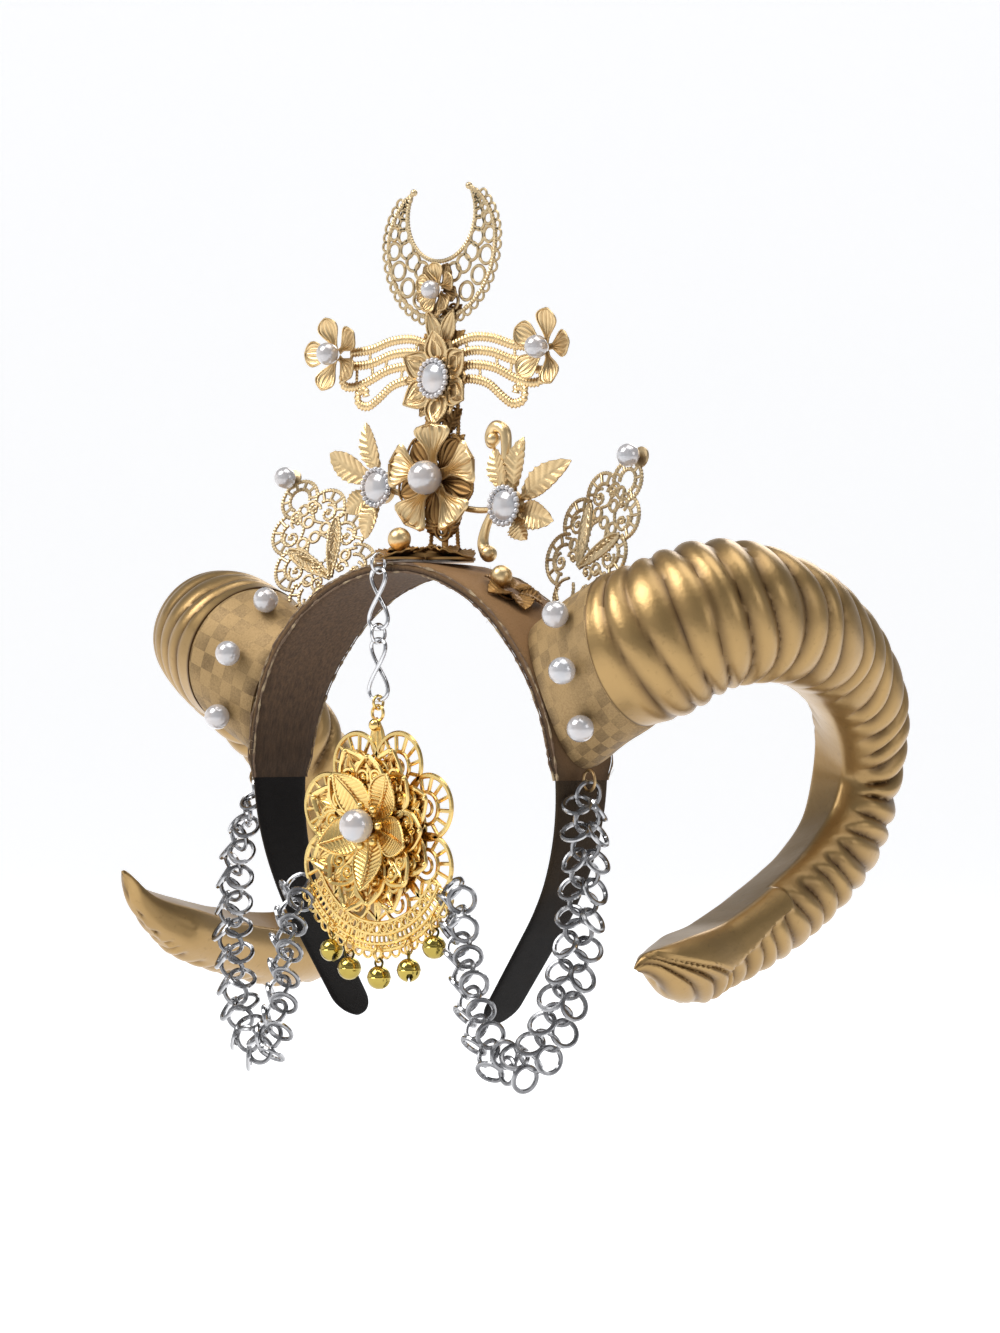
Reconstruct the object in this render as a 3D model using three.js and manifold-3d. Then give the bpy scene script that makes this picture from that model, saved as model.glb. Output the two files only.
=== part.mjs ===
// Ram horn headband: a cloth-covered strip over the head with two ribbed horns, a crown ornament
// of filigree and pearls, and a medallion that hangs in front on chains.
// Millimetres, +Z up, the wearer looks along -Y. The origin is the inner top of the band.

import * as THREE from "three";
import { mergeVertices } from "three/addons/utils/BufferGeometryUtils.js";
import Module from "manifold-3d";

const wasm = await Module();
wasm.setup();

const DEGREE = Math.PI / 180;
const GAP = 0.3;
const SIDES = [
  { name: "left", sign: -1 },
  { name: "right", sign: 1 },
];

// Headband: a half circle over the head, a wider arc inwards below it and a straight end.
const ARCH_RADIUS = 72;
const SIDE_RADIUS = 85;
const SIDE_SWEEP = 36 * DEGREE;
const STRAIGHT_END = 40;
const CORE_THICK = 1.6;
const COVER_THICK = 1.0;
const CORE_WIDTHS = [
  { at: 0, width: 33.4 },
  { at: 62, width: 32.4 },
  { at: 103, width: 26.4 },
  { at: 150, width: 20 },
  { at: 206, width: 16.5 },
];
const END_STRETCH = 11;
const END_INSETS = [7.6, 5.5, 3, 1, 0];
const CORE_STEPS = 44;
const COVER_STEPS = 30;

const QUARTER_LENGTH = (ARCH_RADIUS * Math.PI) / 2;
const SIDE_LENGTH = SIDE_RADIUS * SIDE_SWEEP;
const HALF_LENGTH = QUARTER_LENGTH + SIDE_LENGTH + STRAIGHT_END;
const COVER_LIFT = CORE_THICK / 2 + GAP + COVER_THICK;
const OUTER_RADIUS = ARCH_RADIUS + COVER_LIFT;
const ARCH_CENTER_Z = COVER_LIFT - ARCH_RADIUS;

// Cuff: from an oval on the band to the round seam of the horn.
const CUFF_ANGLE = 66.5 * DEGREE;
const CUFF_HALF_HEIGHT = 27;
const CUFF_HALF_DEPTH = 16.5;
const CUFF_THICK = 1.5;
const CUFF_POINTS = 24;
const SEAM_CENTER = new THREE.Vector3(90, 3, -27);
const SEAM_AXIS = new THREE.Vector3(0.936, 0.217, 0.272).normalize();
const SEAM_RADIUS = 26;
const CUFF_PEARL_RADIUS = 4.5;
const CUFF_PEARLS = {
  left: [
    { along: 0.54, turn: -22 },
    { along: 0.41, turn: -71 },
    { along: 0.38, turn: -117 },
  ],
  right: [
    { along: 0.68, turn: -56 },
    { along: 0.64, turn: -94 },
    { along: 0.51, turn: -131 },
  ],
};

// Horn: centre line and radius from the seam to the tip, for the right side.
const HORN_ROUTE = [
  { x: 114, y: 18, z: -15.4, radius: 24.5 },
  { x: 119, y: 47, z: -17, radius: 20.9 },
  { x: 109, y: 89.5, z: -29, radius: 17.6 },
  { x: 99, y: 115, z: -48, radius: 16.5 },
  { x: 91, y: 124, z: -68, radius: 15.4 },
  { x: 91, y: 116, z: -88, radius: 14.9 },
  { x: 93, y: 97, z: -103, radius: 14.3 },
  { x: 95, y: 68, z: -117, radius: 13.7 },
  { x: 97, y: 36, z: -128, radius: 12.2 },
  { x: 99, y: 9, z: -133, radius: 8.6 },
  { x: 100, y: -4, z: -132, radius: 5 },
];
const COLLAR_LENGTH = 9;
const HORN_TWIST = { left: -27 * DEGREE, right: 0 };
const HORN_YAW = { left: -10 * DEGREE, right: 0 };
const HORN_TIP_LIFT = { left: 13, right: 0 };
const LIFTED_POINTS = 4;
const HORN_RIBS = 22;
const HORN_POINTS = 11;
const RIB_DEPTH = 0.07;
const SPIGOT_LENGTH = 7;
const SPIGOT_RADIUS = 23.8;
const SPIGOT_END_RADIUS = 17.5;

// Crown ornament: depths are the y of each layer, front is towards -Y.
const PLATE_THICK = 1.2;
const LOBE_FULLNESS = 0.6;
const COLUMN_FRONT = 9;
const ORNAMENT_BACK = COLUMN_FRONT - GAP;
const ORNAMENT_FRONT = ORNAMENT_BACK - PLATE_THICK;
const FLOWER_BACK = ORNAMENT_FRONT - GAP;
const FLOWER_THICK = 1;
const SETTING_BACK = FLOWER_BACK - FLOWER_THICK - GAP;
const COLUMN = { halfWidth: 7.5, top: 96, holes: 7, holeHalf: 3.6, firstHole: 12, lastHole: 8 };
const COLUMN_NOTCH = { halfWidth: 2, height: 5 };

const CRESCENT_Z = 115.3;
const CRESCENT_RADIUS = 27.3;
const CRESCENT_TOP = 21.5;
const CRESCENT_BORE = { z: 125, radius: 16.2 };
const CRESCENT_REACH = 148 * DEGREE;
const CRESCENT_CELLS = { reach: 120 * DEGREE, count: 12, margin: 0.06, from: 0.2, to: 0.72 };
const CRESCENT_FLOWER_Z = 98.5;
const WING_Z = 77.5;
const WING_TILT = 2.5 * DEGREE;
const WING_FLOWER_X = 50;
const CENTER_FLOWER_Z = 68;
const BIG_FLOWER_Z = 33.5;

// Ribs of the cross bar on the +X side: start, bend and end of each centre line.
const WING_RIBS = [
  { x1: 6, z1: 79, x2: 24, z2: 83, x3: 43, z3: 78 },
  { x1: 6, z1: 75, x2: 25, z2: 77.5, x3: 45, z3: 73 },
  { x1: 6, z1: 70, x2: 29, z2: 71.5, x3: 46, z3: 67 },
  { x1: 6, z1: 66, x2: 27, z2: 66, x3: 37, z3: 61.5 },
];
const RIB_WIDTH = 2.6;
const TIE_WIDTH = 1.6;
const TIE_THICK = 1;
const WING_TIES = [
  { x: 19, low: 67, high: 79 },
  { x: 34, low: 69.5, high: 79 },
  { x: 42, low: 69.5, high: 79 },
];
const WING_CURLS = [
  { x: 37, z: 62.9, radius: 2.8 },
  { x: 46, z: 68, radius: 2.6 },
];
const WING_HUB = { z: 73, halfWidth: 9, halfHeight: 9.6 };

// Leaf sprigs: tips of the leaves around each pearl setting, and a leaf's width along it.
const LEAF_WIDTHS = [
  { at: 0, half: 0.12 },
  { at: 0.3, half: 0.36 },
  { at: 0.6, half: 0.5 },
  { at: 0.85, half: 0.3 },
  { at: 1, half: 0.05 },
];
const LEAF_EDGE = 0.4;
const LEAF_MIDRIB = 1.1;
const SPRIGS = {
  left: {
    x: -28,
    z: 31.6,
    root: { x: -5, z: 29 },
    leaves: [
      { x: -37, z: 55, width: 7 },
      { x: -55, z: 45, width: 8 },
      { x: -46.5, z: 24, width: 6.5 },
      { x: -37.5, z: 14, width: 7 },
    ],
  },
  right: {
    x: 33,
    z: 22.7,
    root: { x: 5, z: 24 },
    leaves: [
      { x: 26, z: 42, width: 7.5 },
      { x: 38.5, z: 45.5, width: 7 },
      { x: 60, z: 37, width: 8 },
      { x: 52, z: 17, width: 8.5 },
      { x: 40, z: 11.5, width: 7 },
    ],
  },
};
const SCROLL_ROUTE = [
  { x: 23.5, z: 46 },
  { x: 26.5, z: 49.5 },
  { x: 30, z: 46 },
  { x: 30, z: 38 },
  { x: 27, z: 24 },
  { x: 20.5, z: 16 },
  { x: 20.5, z: 9 },
  { x: 24, z: 6.2 },
];
const SCROLL_RADIUS = 1.4;
const SCROLL_BALL = 2.4;
const SETTING_RADIUS = 5.6;
const SETTING_HEIGHT = 2.2;
const STEM_WIDTH = 3;
const CABOCHON_HEIGHT = 5;
const CABOCHON_RADIUS = 7.4;
const CABOCHON_PROFILE = [
  { out: 0, up: 0 },
  { out: 1, up: 0 },
  { out: 1, up: 0.3 },
  { out: 0.74, up: 0.62 },
  { out: 0.4, up: 0.93 },
  { out: 0, up: 1 },
];

// Base plates on top of the band and the filigree leaves at the sides.
const BASE_LOW = { z: 4.6, radius: 22.4, lobes: 4, notch: 0.55, points: 40 };
const BASE_HIGH = { z: 7.5, radius: 15, lobes: 6, notch: 0.6, points: 36 };
const BASE_BOSS_RADIUS = 7;
const BASE_EYE = { y: -20, radius: 1.3 };
const BASE_BEAD = { y: -12.5, z: 11.9, radius: 4 };
const PANEL_TIP = { x: 84, y: 17.5, z: 38 };
const PANEL_FOOT = { x: 50.8, y: 11.8, z: -12 };
const PANEL_FACE = { x: -0.177, y: -0.957, z: 0.232 };
const PANEL_HALF_WIDTHS = [
  { at: 0.02, half: 4 },
  { at: 0.14, half: 9 },
  { at: 0.2, half: 15 },
  { at: 0.3, half: 16.5 },
  { at: 0.38, half: 14.5 },
  { at: 0.48, half: 17 },
  { at: 0.58, half: 17 },
  { at: 0.66, half: 13.5 },
  { at: 0.74, half: 13 },
  { at: 0.84, half: 9.5 },
  { at: 0.92, half: 5 },
  { at: 1.02, half: 4.5 },
];
const PANEL_HOLES = [
  { at: 0.25, x: 10.5, radius: 3.6 },
  { at: 0.36, x: 5, radius: 3.4 },
  { at: 0.44, x: 11.5, radius: 3 },
  { at: 0.56, x: 12.6, radius: 3.2 },
  { at: 0.54, x: 5, radius: 3.6 },
  { at: 0.71, x: 8.8, radius: 3 },
  { at: 0.7, x: 2.6, radius: 2 },
  { at: 0.83, x: 4.2, radius: 3 },
];
const PANEL_PEARL_AT = 0.97;
const PANEL_BASE_ANGLE = 33 * DEGREE;
const PANEL_BASE = { radius: 11, lobes: 3, notch: 0.5, points: 24 };
const PANEL_BASE_BEAD = { radius: 3.7, x: -4, y: -4, z: 4.5 };

// Pendant chain and medallion.
const PENDANT_Y = -22.6;
const PENDANT_RINGS = [
  { name: "top", z: 3.4, radius: 3.2, wire: 0.6, finish: "steel" },
  { name: "mid", z: -20.6, radius: 3.2, wire: 0.6, finish: "steel" },
  { name: "low", z: -43.9, radius: 2.3, wire: 0.5, finish: "brightGold" },
];
const LINK_HEIGHT = 20.7;
const LINK_HALF_WIDTH = 3.9;
const LINK_WIRE = 0.7;
const LINK_CENTERS = { upper: -8.6, lower: -32.7 };
const MEDALLION = { z: -89, y: -22.4, radius: 36.5, lobes: 8, notch: 0.84 };
const APRON = { radius: 39, halfAngle: 62 * DEGREE, scallops: 16, notch: 0.95 };
const FAN_SLOTS = { radius: 30.5, half: 2.3, offsets: [-0.2, 0, 0.2], lowest: -0.8 };
const BAIL = { z: -47.5, radius: 2.6, wire: 0.6 };
const BAIL_NECK = { from: 28, width: 4.4, thick: 1.4 };
const MEDALLION_LAYERS = [
  { name: "medallion_mid", y: -23.9, z: -87, reach: 27, hub: 17, cup: 3, petals: 8 },
  { name: "medallion_flower", y: -25.8, z: -85.5, reach: 21, hub: 7, cup: 5, petals: 5 },
];
const MEDALLION_PEARL_RADIUS = 5.8;
const BELL_RADIUS = 4;
const BELL_BEARINGS = [-38, -21.5, 1, 23.5, 46];
const BELL_EYE_INSET = 2;
const BELL_EYE_RADIUS = 1.1;
const BELL_RING = { radius: 2.9, wire: 0.45 };
const BELL_TOP_EYE = { radius: 1.4, wire: 0.4, rise: 5.1 };
const BELL_SLOT = { width: 1, height: 3.2 };

// Chain-mail strips, right side: centre line and the bearing that the flat face looks along.
const MAIL_ROUTE = [
  { x: 78.4, y: -4, z: -74.3, right: 76, left: -62 },
  { x: 83, y: -10, z: -92, right: 50, left: -12 },
  { x: 83.5, y: -13, z: -114, right: 38, left: 6 },
  { x: 79, y: -16, z: -140, right: 35, left: 12 },
  { x: 70, y: -19, z: -159, right: 33, left: 12 },
  { x: 59, y: -21.5, z: -165, right: 22, left: 6 },
  { x: 50, y: -24, z: -156, right: 8, left: -4 },
  { x: 44, y: -26, z: -136, right: -5, left: -12 },
  { x: 40, y: -26.4, z: -118, right: -6, left: -10 },
  { x: 37, y: -24.7, z: -106, right: 0, left: 0 },
];
const MAIL_ROW = 9.6;
const MAIL_HALF = 6.2;
const MAIL_HOLE = 3;
const MAIL_MIDDLE = 2.7;
const MAIL_MIDDLE_HOLE = 2.7;
const MAIL_TIP = 4.3;
const MAIL_THICK = 1.6;
const MAIL_TIP_HALF = 1.6;
const MAIL_BULGE = 0.25;
const MAIL_RIM = { along: 3.2, across: 4.6 };
const CHAIN_RING = { x: 78.8, y: -3.8, z: -69.9, radius: 3.9, wire: 0.42 };

const FINISHES = {
  hornGold: { color: 0x9c7a45, roughness: 0.42, metalness: 0.8 },
  cuffCloth: { color: 0x8d6c3f, roughness: 0.7, metalness: 0.2 },
  brownCloth: { color: 0x4a3a2a, roughness: 0.85, metalness: 0 },
  velvet: { color: 0x15120f, roughness: 0.95, metalness: 0 },
  paleGold: { color: 0xc0a066, roughness: 0.35, metalness: 1 },
  brightGold: { color: 0xe0a92e, roughness: 0.2, metalness: 1 },
  brass: { color: 0xb59a2c, roughness: 0.18, metalness: 1 },
  steel: { color: 0xb4b4b8, roughness: 0.25, metalness: 1 },
  pearl: { color: 0xe9e4e2, roughness: 0.2, metalness: 0 },
};

const part = new THREE.Group();
// Everything in this group is drawn in a plane: x to the right, y up, z towards the front.
const front = new THREE.Group();
front.rotation.x = Math.PI / 2;
part.add(front);

function addPiece(parent, name, geometry, finish) {
  const mesh = new THREE.Mesh(geometry, new THREE.MeshStandardMaterial(FINISHES[finish]));
  mesh.name = name;
  parent.add(mesh);
  return mesh;
}

// A piece in the front group at x, z with its back face at depth y.
function addFront(name, geometry, finish, x, y, z) {
  const mesh = addPiece(front, name, geometry, finish);
  mesh.position.set(x, z, -y);
  return mesh;
}

function bareGeometry(points, index) {
  const geometry = new THREE.BufferGeometry().setFromPoints(points);
  geometry.setIndex(index);
  if (signedVolume(points, index) < 0) {
    geometry.setIndex(index.reverse());
  }
  geometry.computeVertexNormals();
  return geometry;
}

function signedVolume(points, index) {
  let volume = 0;
  for (let i = 0; i < index.length; i += 3) {
    const [a, b, c] = [points[index[i]], points[index[i + 1]], points[index[i + 2]]];
    volume += a.dot(b.clone().cross(c));
  }
  return volume;
}

// A surface through rings of equally many points. Open ends are capped by a fan, a closed run joins up.
function skin(rings, closed = false) {
  const count = rings[0].length;
  const points = rings.flat();
  const index = [];
  const spans = closed ? rings.length : rings.length - 1;
  for (let i = 0; i < spans; i += 1) {
    const a = i * count;
    const b = ((i + 1) % rings.length) * count;
    for (let j = 0; j < count; j += 1) {
      const k = (j + 1) % count;
      index.push(a + j, a + k, b + k, a + j, b + k, b + j);
    }
  }
  if (!closed) {
    capRing(points, index, rings[0], 0, true);
    capRing(points, index, rings.at(-1), (rings.length - 1) * count, false);
  }
  return bareGeometry(points, index);
}

function capRing(points, index, ring, start, turned) {
  const hub = points.length;
  const middle = new THREE.Vector3();
  ring.forEach((p) => middle.add(p));
  points.push(middle.divideScalar(ring.length));
  for (let j = 0; j < ring.length; j += 1) {
    const k = (j + 1) % ring.length;
    index.push(hub, start + (turned ? k : j), start + (turned ? j : k));
  }
}

function toSolid(geometry) {
  const bare = geometry.clone();
  bare.deleteAttribute("normal");
  bare.deleteAttribute("uv");
  const merged = mergeVertices(bare, 1e-4);
  return new wasm.Manifold(
    new wasm.Mesh({
      numProp: 3,
      vertProperties: merged.attributes.position.array,
      triVerts: new Uint32Array(merged.index.array),
    }),
  );
}

function fromSolid(solid) {
  const mesh = solid.getMesh();
  const geometry = new THREE.BufferGeometry();
  geometry.setAttribute("position", new THREE.BufferAttribute(mesh.vertProperties, 3));
  geometry.setIndex(new THREE.BufferAttribute(mesh.triVerts, 1));
  geometry.computeVertexNormals();
  return geometry;
}

function join(geometries) {
  return fromSolid(geometries.map(toSolid).reduce((a, b) => a.add(b)));
}

function cut(geometry, tool) {
  return fromSolid(toSolid(geometry).subtract(toSolid(tool)));
}

function plate(shape, thick = PLATE_THICK) {
  return new THREE.ExtrudeGeometry(shape, { depth: thick, bevelEnabled: false, curveSegments: 5 });
}

function ball(radius) {
  return new THREE.SphereGeometry(radius, 8, 5);
}

function wireRing(radius, wire, steps = 10) {
  return new THREE.TorusGeometry(radius, wire, 4, steps);
}

function interpolate(rows, at, column) {
  const next = rows.findIndex((row) => row.at >= at);
  if (next <= 0) {
    return rows.at(next)[column];
  }
  const [a, b] = [rows[next - 1], rows[next]];
  return a[column] + ((b[column] - a[column]) * (at - a.at)) / (b.at - a.at);
}

// Headband

// A point of the arch: length along it from the top (right is positive), y across it, lift outwards.
function archPoint(length, y, lift) {
  const run = Math.abs(length);
  let turn = run / ARCH_RADIUS;
  let x = ARCH_RADIUS * Math.sin(turn);
  let z = ARCH_CENTER_Z + ARCH_RADIUS * Math.cos(turn);
  if (run > QUARTER_LENGTH) {
    const bend = Math.min((run - QUARTER_LENGTH) / SIDE_RADIUS, SIDE_SWEEP);
    const straight = Math.max(run - QUARTER_LENGTH - SIDE_LENGTH, 0);
    turn = Math.PI / 2 + bend;
    x = ARCH_RADIUS - SIDE_RADIUS + SIDE_RADIUS * Math.cos(bend) + straight * Math.cos(turn);
    z = ARCH_CENTER_Z - SIDE_RADIUS * Math.sin(bend) - straight * Math.sin(turn);
  }
  const side = Math.sign(length) || 1;
  return new THREE.Vector3(side * (x + lift * Math.sin(turn)), y, z + lift * Math.cos(turn));
}

function coreHalfWidth(length) {
  const half = interpolate(CORE_WIDTHS, Math.min(Math.abs(length), HALF_LENGTH), "width") / 2;
  const inset = half - Math.max(HALF_LENGTH - Math.abs(length), 0.2);
  return inset > 0 ? Math.sqrt(half * half - inset * inset) : half;
}

function bandRing(length, extra, lift) {
  const half = coreHalfWidth(length) + extra;
  return [
    archPoint(length, -half, -lift),
    archPoint(length, half, -lift),
    archPoint(length, half, lift),
    archPoint(length, -half, lift),
  ];
}

function spread(from, to, steps) {
  return Array.from({ length: steps + 1 }, (_, i) => from + ((to - from) * i) / steps);
}

function headbandCore() {
  const round = END_INSETS.map((inset) => HALF_LENGTH - inset);
  const middle = spread(-HALF_LENGTH + END_STRETCH, HALF_LENGTH - END_STRETCH, CORE_STEPS);
  const lengths = [...round.toReversed().map((v) => -v), ...middle, ...round];
  return skin(lengths.map((s) => bandRing(s, 0, CORE_THICK / 2)));
}

function bandCover() {
  const lengths = spread(-QUARTER_LENGTH, QUARTER_LENGTH, COVER_STEPS);
  const outer = lengths.map((s) => bandRing(s, GAP + COVER_THICK, COVER_LIFT));
  const inner = lengths.map((s) => bandRing(s, GAP, COVER_LIFT - COVER_THICK));
  return skin([...outer, ...inner.reverse()], true);
}

// Cuffs and horns

const SEAM_UP = new THREE.Vector3(0, 0, 1).projectOnPlane(SEAM_AXIS).normalize();
const SEAM_BACK = new THREE.Vector3().crossVectors(SEAM_UP, SEAM_AXIS).normalize();

function seamPoint(turn, radius, along = 0) {
  return SEAM_CENTER.clone()
    .addScaledVector(SEAM_UP, radius * Math.cos(turn))
    .addScaledVector(SEAM_BACK, radius * Math.sin(turn))
    .addScaledVector(SEAM_AXIS, along);
}

// A point of the right cuff: along from the band (0) to the seam (1), turn from the top towards the back.
function cuffPoint(along, turn, inset) {
  const angle = CUFF_ANGLE - ((CUFF_HALF_HEIGHT - inset) * Math.cos(turn)) / OUTER_RADIUS;
  const radius = OUTER_RADIUS + GAP;
  const foot = new THREE.Vector3(
    radius * Math.sin(angle),
    (CUFF_HALF_DEPTH - inset) * Math.sin(turn),
    ARCH_CENTER_Z + radius * Math.cos(angle),
  );
  return foot.lerp(seamPoint(turn, SEAM_RADIUS - inset), along);
}

function turns(count) {
  return Array.from({ length: count }, (_, i) => (i * 2 * Math.PI) / count);
}

function mirrored(points, sign) {
  points.forEach((p) => (p.x *= sign));
  return points;
}

function cuff(sign) {
  const ring = (along, inset) =>
    mirrored(turns(CUFF_POINTS).map((turn) => cuffPoint(along, turn, inset)), sign);
  const outer = [0, 0.5, 1].map((along) => ring(along, 0));
  const inner = [1, 0.5, 0].map((along) => ring(along, CUFF_THICK));
  return skin([...outer, ...inner], true);
}

function cuffPearlPlace({ along, turn }, sign) {
  const angle = turn * DEGREE;
  const here = cuffPoint(along, angle, 0);
  const onward = cuffPoint(along + 0.05, angle, 0).sub(here);
  const round = cuffPoint(along, angle + 0.05, 0).sub(here);
  const out = onward.cross(round).normalize();
  here.addScaledVector(out, CUFF_PEARL_RADIUS + GAP);
  return mirrored([here], sign)[0];
}

// The horn's centre line for the right side, twisted about the seam axis and yawed from it. Its last points
// rise in equal steps to the tip's lift.
function hornCurve(name) {
  const firstLifted = HORN_ROUTE.length - LIFTED_POINTS;
  const bend = HORN_ROUTE.map(({ x, y, z }, i) => {
    const place = new THREE.Vector3(x, y, z)
      .sub(SEAM_CENTER)
      .applyAxisAngle(SEAM_AXIS, HORN_TWIST[name])
      .applyAxisAngle(new THREE.Vector3(0, 0, 1), HORN_YAW[name])
      .add(SEAM_CENTER);
    place.z += (HORN_TIP_LIFT[name] * Math.max(0, i + 1 - firstLifted)) / LIFTED_POINTS;
    return place;
  });
  const collar = seamPoint(0, 0, COLLAR_LENGTH);
  return new THREE.CatmullRomCurve3([SEAM_CENTER, collar, ...bend], false, "centripetal");
}

function ringAt(center, normal, along, radiusAt) {
  const across = new THREE.Vector3().crossVectors(normal, along);
  return turns(HORN_POINTS).map((turn) => {
    const out = normal.clone().multiplyScalar(Math.cos(turn)).addScaledVector(across, Math.sin(turn));
    return out.multiplyScalar(radiusAt(out)).add(center);
  });
}

// Ribs stand out on the outer side of the curl and fade on its inner side.
function horn({ name, sign }) {
  const curve = hornCurve(name);
  const steps = HORN_RIBS * 2;
  const middle = new THREE.Box3().setFromPoints(curve.points).getCenter(new THREE.Vector3());
  const stations = [{ radius: SEAM_RADIUS }, { radius: SEAM_RADIUS }, ...HORN_ROUTE];
  const radii = stations.map(({ radius }, i) => ({ at: i / (stations.length - 1), radius }));
  const rings = [
    ringAt(seamPoint(0, 0, -SPIGOT_LENGTH), SEAM_UP, SEAM_AXIS, () => SPIGOT_END_RADIUS),
    ringAt(seamPoint(0, 0, GAP), SEAM_UP, SEAM_AXIS, () => SPIGOT_RADIUS),
    ringAt(seamPoint(0, 0, GAP), SEAM_UP, SEAM_AXIS, () => SEAM_RADIUS),
  ];
  let normal = SEAM_UP;
  for (let i = 1; i <= steps; i += 1) {
    const u = i / steps;
    const center = curve.getPointAt(u);
    const along = curve.getTangentAt(u);
    const radius = interpolate(radii, curve.getUtoTmapping(u), "radius");
    const inward = middle.clone().sub(center).projectOnPlane(along).normalize();
    const depth = i % 2 === 0 ? RIB_DEPTH : 0;
    normal = normal.clone().projectOnPlane(along).normalize();
    rings.push(
      ringAt(center, normal, along, (out) => radius * (1 - depth * Math.min(1, 1.2 - 1.2 * out.dot(inward)))),
    );
  }
  return skin(rings.map((ring) => mirrored(ring, sign)));
}

// Plates, flowers and leaves

function flower({ petals, reach, hub, cup, sharp = LOBE_FULLNESS }) {
  const perPetal = 6;
  const ring = (share, lift) =>
    turns(petals * perPetal).map((turn) => {
      const swell = Math.abs(Math.cos((petals * turn) / 2)) ** sharp;
      const radius = share * (hub + (reach - hub) * swell);
      const rise = cup * (radius / reach) ** 2;
      return new THREE.Vector3(radius * Math.sin(turn), radius * Math.cos(turn), rise + lift);
    });
  const top = [0.5, 1].map((share) => ring(share, FLOWER_THICK));
  const low = [1, 0.5].map((share) => ring(share, 0));
  return skin([...top, ...low]);
}

// A domed stone with a short upright edge.
function cabochon() {
  const profile = CABOCHON_PROFILE.map(
    ({ out, up }) => new THREE.Vector2(out * CABOCHON_RADIUS, up * CABOCHON_HEIGHT),
  );
  return new THREE.LatheGeometry(profile, 14).rotateX(Math.PI / 2);
}

// A leaf between two points of the drawing plane, thickest on its midrib.
function leaf(from, to, width) {
  const start = new THREE.Vector3(from.x, from.z, 0);
  const along = new THREE.Vector3(to.x, to.z, 0).sub(start);
  const across = new THREE.Vector3(-along.y, along.x, 0).normalize();
  const rings = LEAF_WIDTHS.map(({ at, half }) => {
    const middle = start.clone().addScaledVector(along, at);
    return [
      middle.clone().addScaledVector(across, half * width).setZ(LEAF_EDGE),
      middle.clone().setZ(LEAF_MIDRIB),
      middle.clone().addScaledVector(across, -half * width).setZ(LEAF_EDGE),
      middle.clone().setZ(0),
    ];
  });
  return skin(rings);
}

// A flat bar along a curve in the drawing plane.
function ribbon(curve, width, thick, steps) {
  const left = [];
  const right = [];
  for (let i = 0; i <= steps; i += 1) {
    const p = curve.getPoint(i / steps);
    const t = curve.getTangent(i / steps);
    left.push(new THREE.Vector2(p.x - (t.y * width) / 2, p.y + (t.x * width) / 2));
    right.unshift(new THREE.Vector2(p.x + (t.y * width) / 2, p.y - (t.x * width) / 2));
  }
  return plate(new THREE.Shape([...left, ...right]), thick);
}

function disc(x, z, radius, thick) {
  return plate(new THREE.Shape().absarc(x, z, radius, 0, 2 * Math.PI), thick);
}

function polygonHole(x, z, radius, sides, turn = 0) {
  const points = turns(sides).map(
    (angle) => new THREE.Vector2(x + radius * Math.sin(angle + turn), z + radius * Math.cos(angle + turn)),
  );
  return new THREE.Path(points);
}

// Crown ornament

// Outer edge of the crescent at a bearing from its lowest point.
function crescentEdge(bearing) {
  const rise = -Math.cos(bearing);
  return new THREE.Vector2(
    CRESCENT_RADIUS * Math.sin(bearing),
    CRESCENT_Z + rise * (rise > 0 ? CRESCENT_TOP : CRESCENT_RADIUS),
  );
}

// Point of the bore's edge that faces a point of the outer edge.
function boreEdge(outer) {
  const center = new THREE.Vector2(0, CRESCENT_BORE.z);
  return outer.clone().sub(center).setLength(CRESCENT_BORE.radius).add(center);
}

// A sickle plate with a row of cells, closed behind the flower at its lowest point.
function crescent() {
  const { reach, count, margin, from, to } = CRESCENT_CELLS;
  const outer = spread(-CRESCENT_REACH, CRESCENT_REACH, 2 * count).map(crescentEdge);
  const inner = outer.toReversed().map(boreEdge);
  const shape = new THREE.Shape([...outer, ...inner]);
  const bearings = spread(-reach, reach, count);
  const inset = (edge, share) => edge.clone().lerp(boreEdge(edge), share);
  bearings.slice(1).forEach((bearing, i) => {
    const a = crescentEdge(bearings[i] + margin);
    const b = crescentEdge(bearing - margin);
    if (i !== count / 2 && i !== count / 2 - 1) {
      shape.holes.push(new THREE.Path([inset(a, from), inset(b, from), inset(b, to), inset(a, to)]));
    }
  });
  return plate(shape);
}

function wingBar() {
  const pieces = [];
  for (const { sign } of SIDES) {
    for (const { x1, z1, x2, z2, x3, z3 } of WING_RIBS) {
      const bend = new THREE.QuadraticBezierCurve(
        new THREE.Vector2(sign * x1, z1),
        new THREE.Vector2(sign * x2, z2),
        new THREE.Vector2(sign * x3, z3),
      );
      pieces.push(ribbon(bend, RIB_WIDTH, PLATE_THICK, 5));
    }
    for (const { x, z, radius } of WING_CURLS) {
      pieces.push(disc(sign * x, z, radius, TIE_THICK));
    }
    for (const { x, low, high } of WING_TIES) {
      const tie = new THREE.LineCurve(new THREE.Vector2(sign * x, low), new THREE.Vector2(sign * x, high));
      pieces.push(ribbon(tie, TIE_WIDTH, TIE_THICK, 1));
    }
  }
  const { z, halfWidth, halfHeight } = WING_HUB;
  pieces.push(plate(new THREE.Shape().absellipse(0, z, halfWidth, halfHeight, 0, 2 * Math.PI), PLATE_THICK));
  return join(pieces).translate(0, -WING_Z, 0);
}

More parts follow.
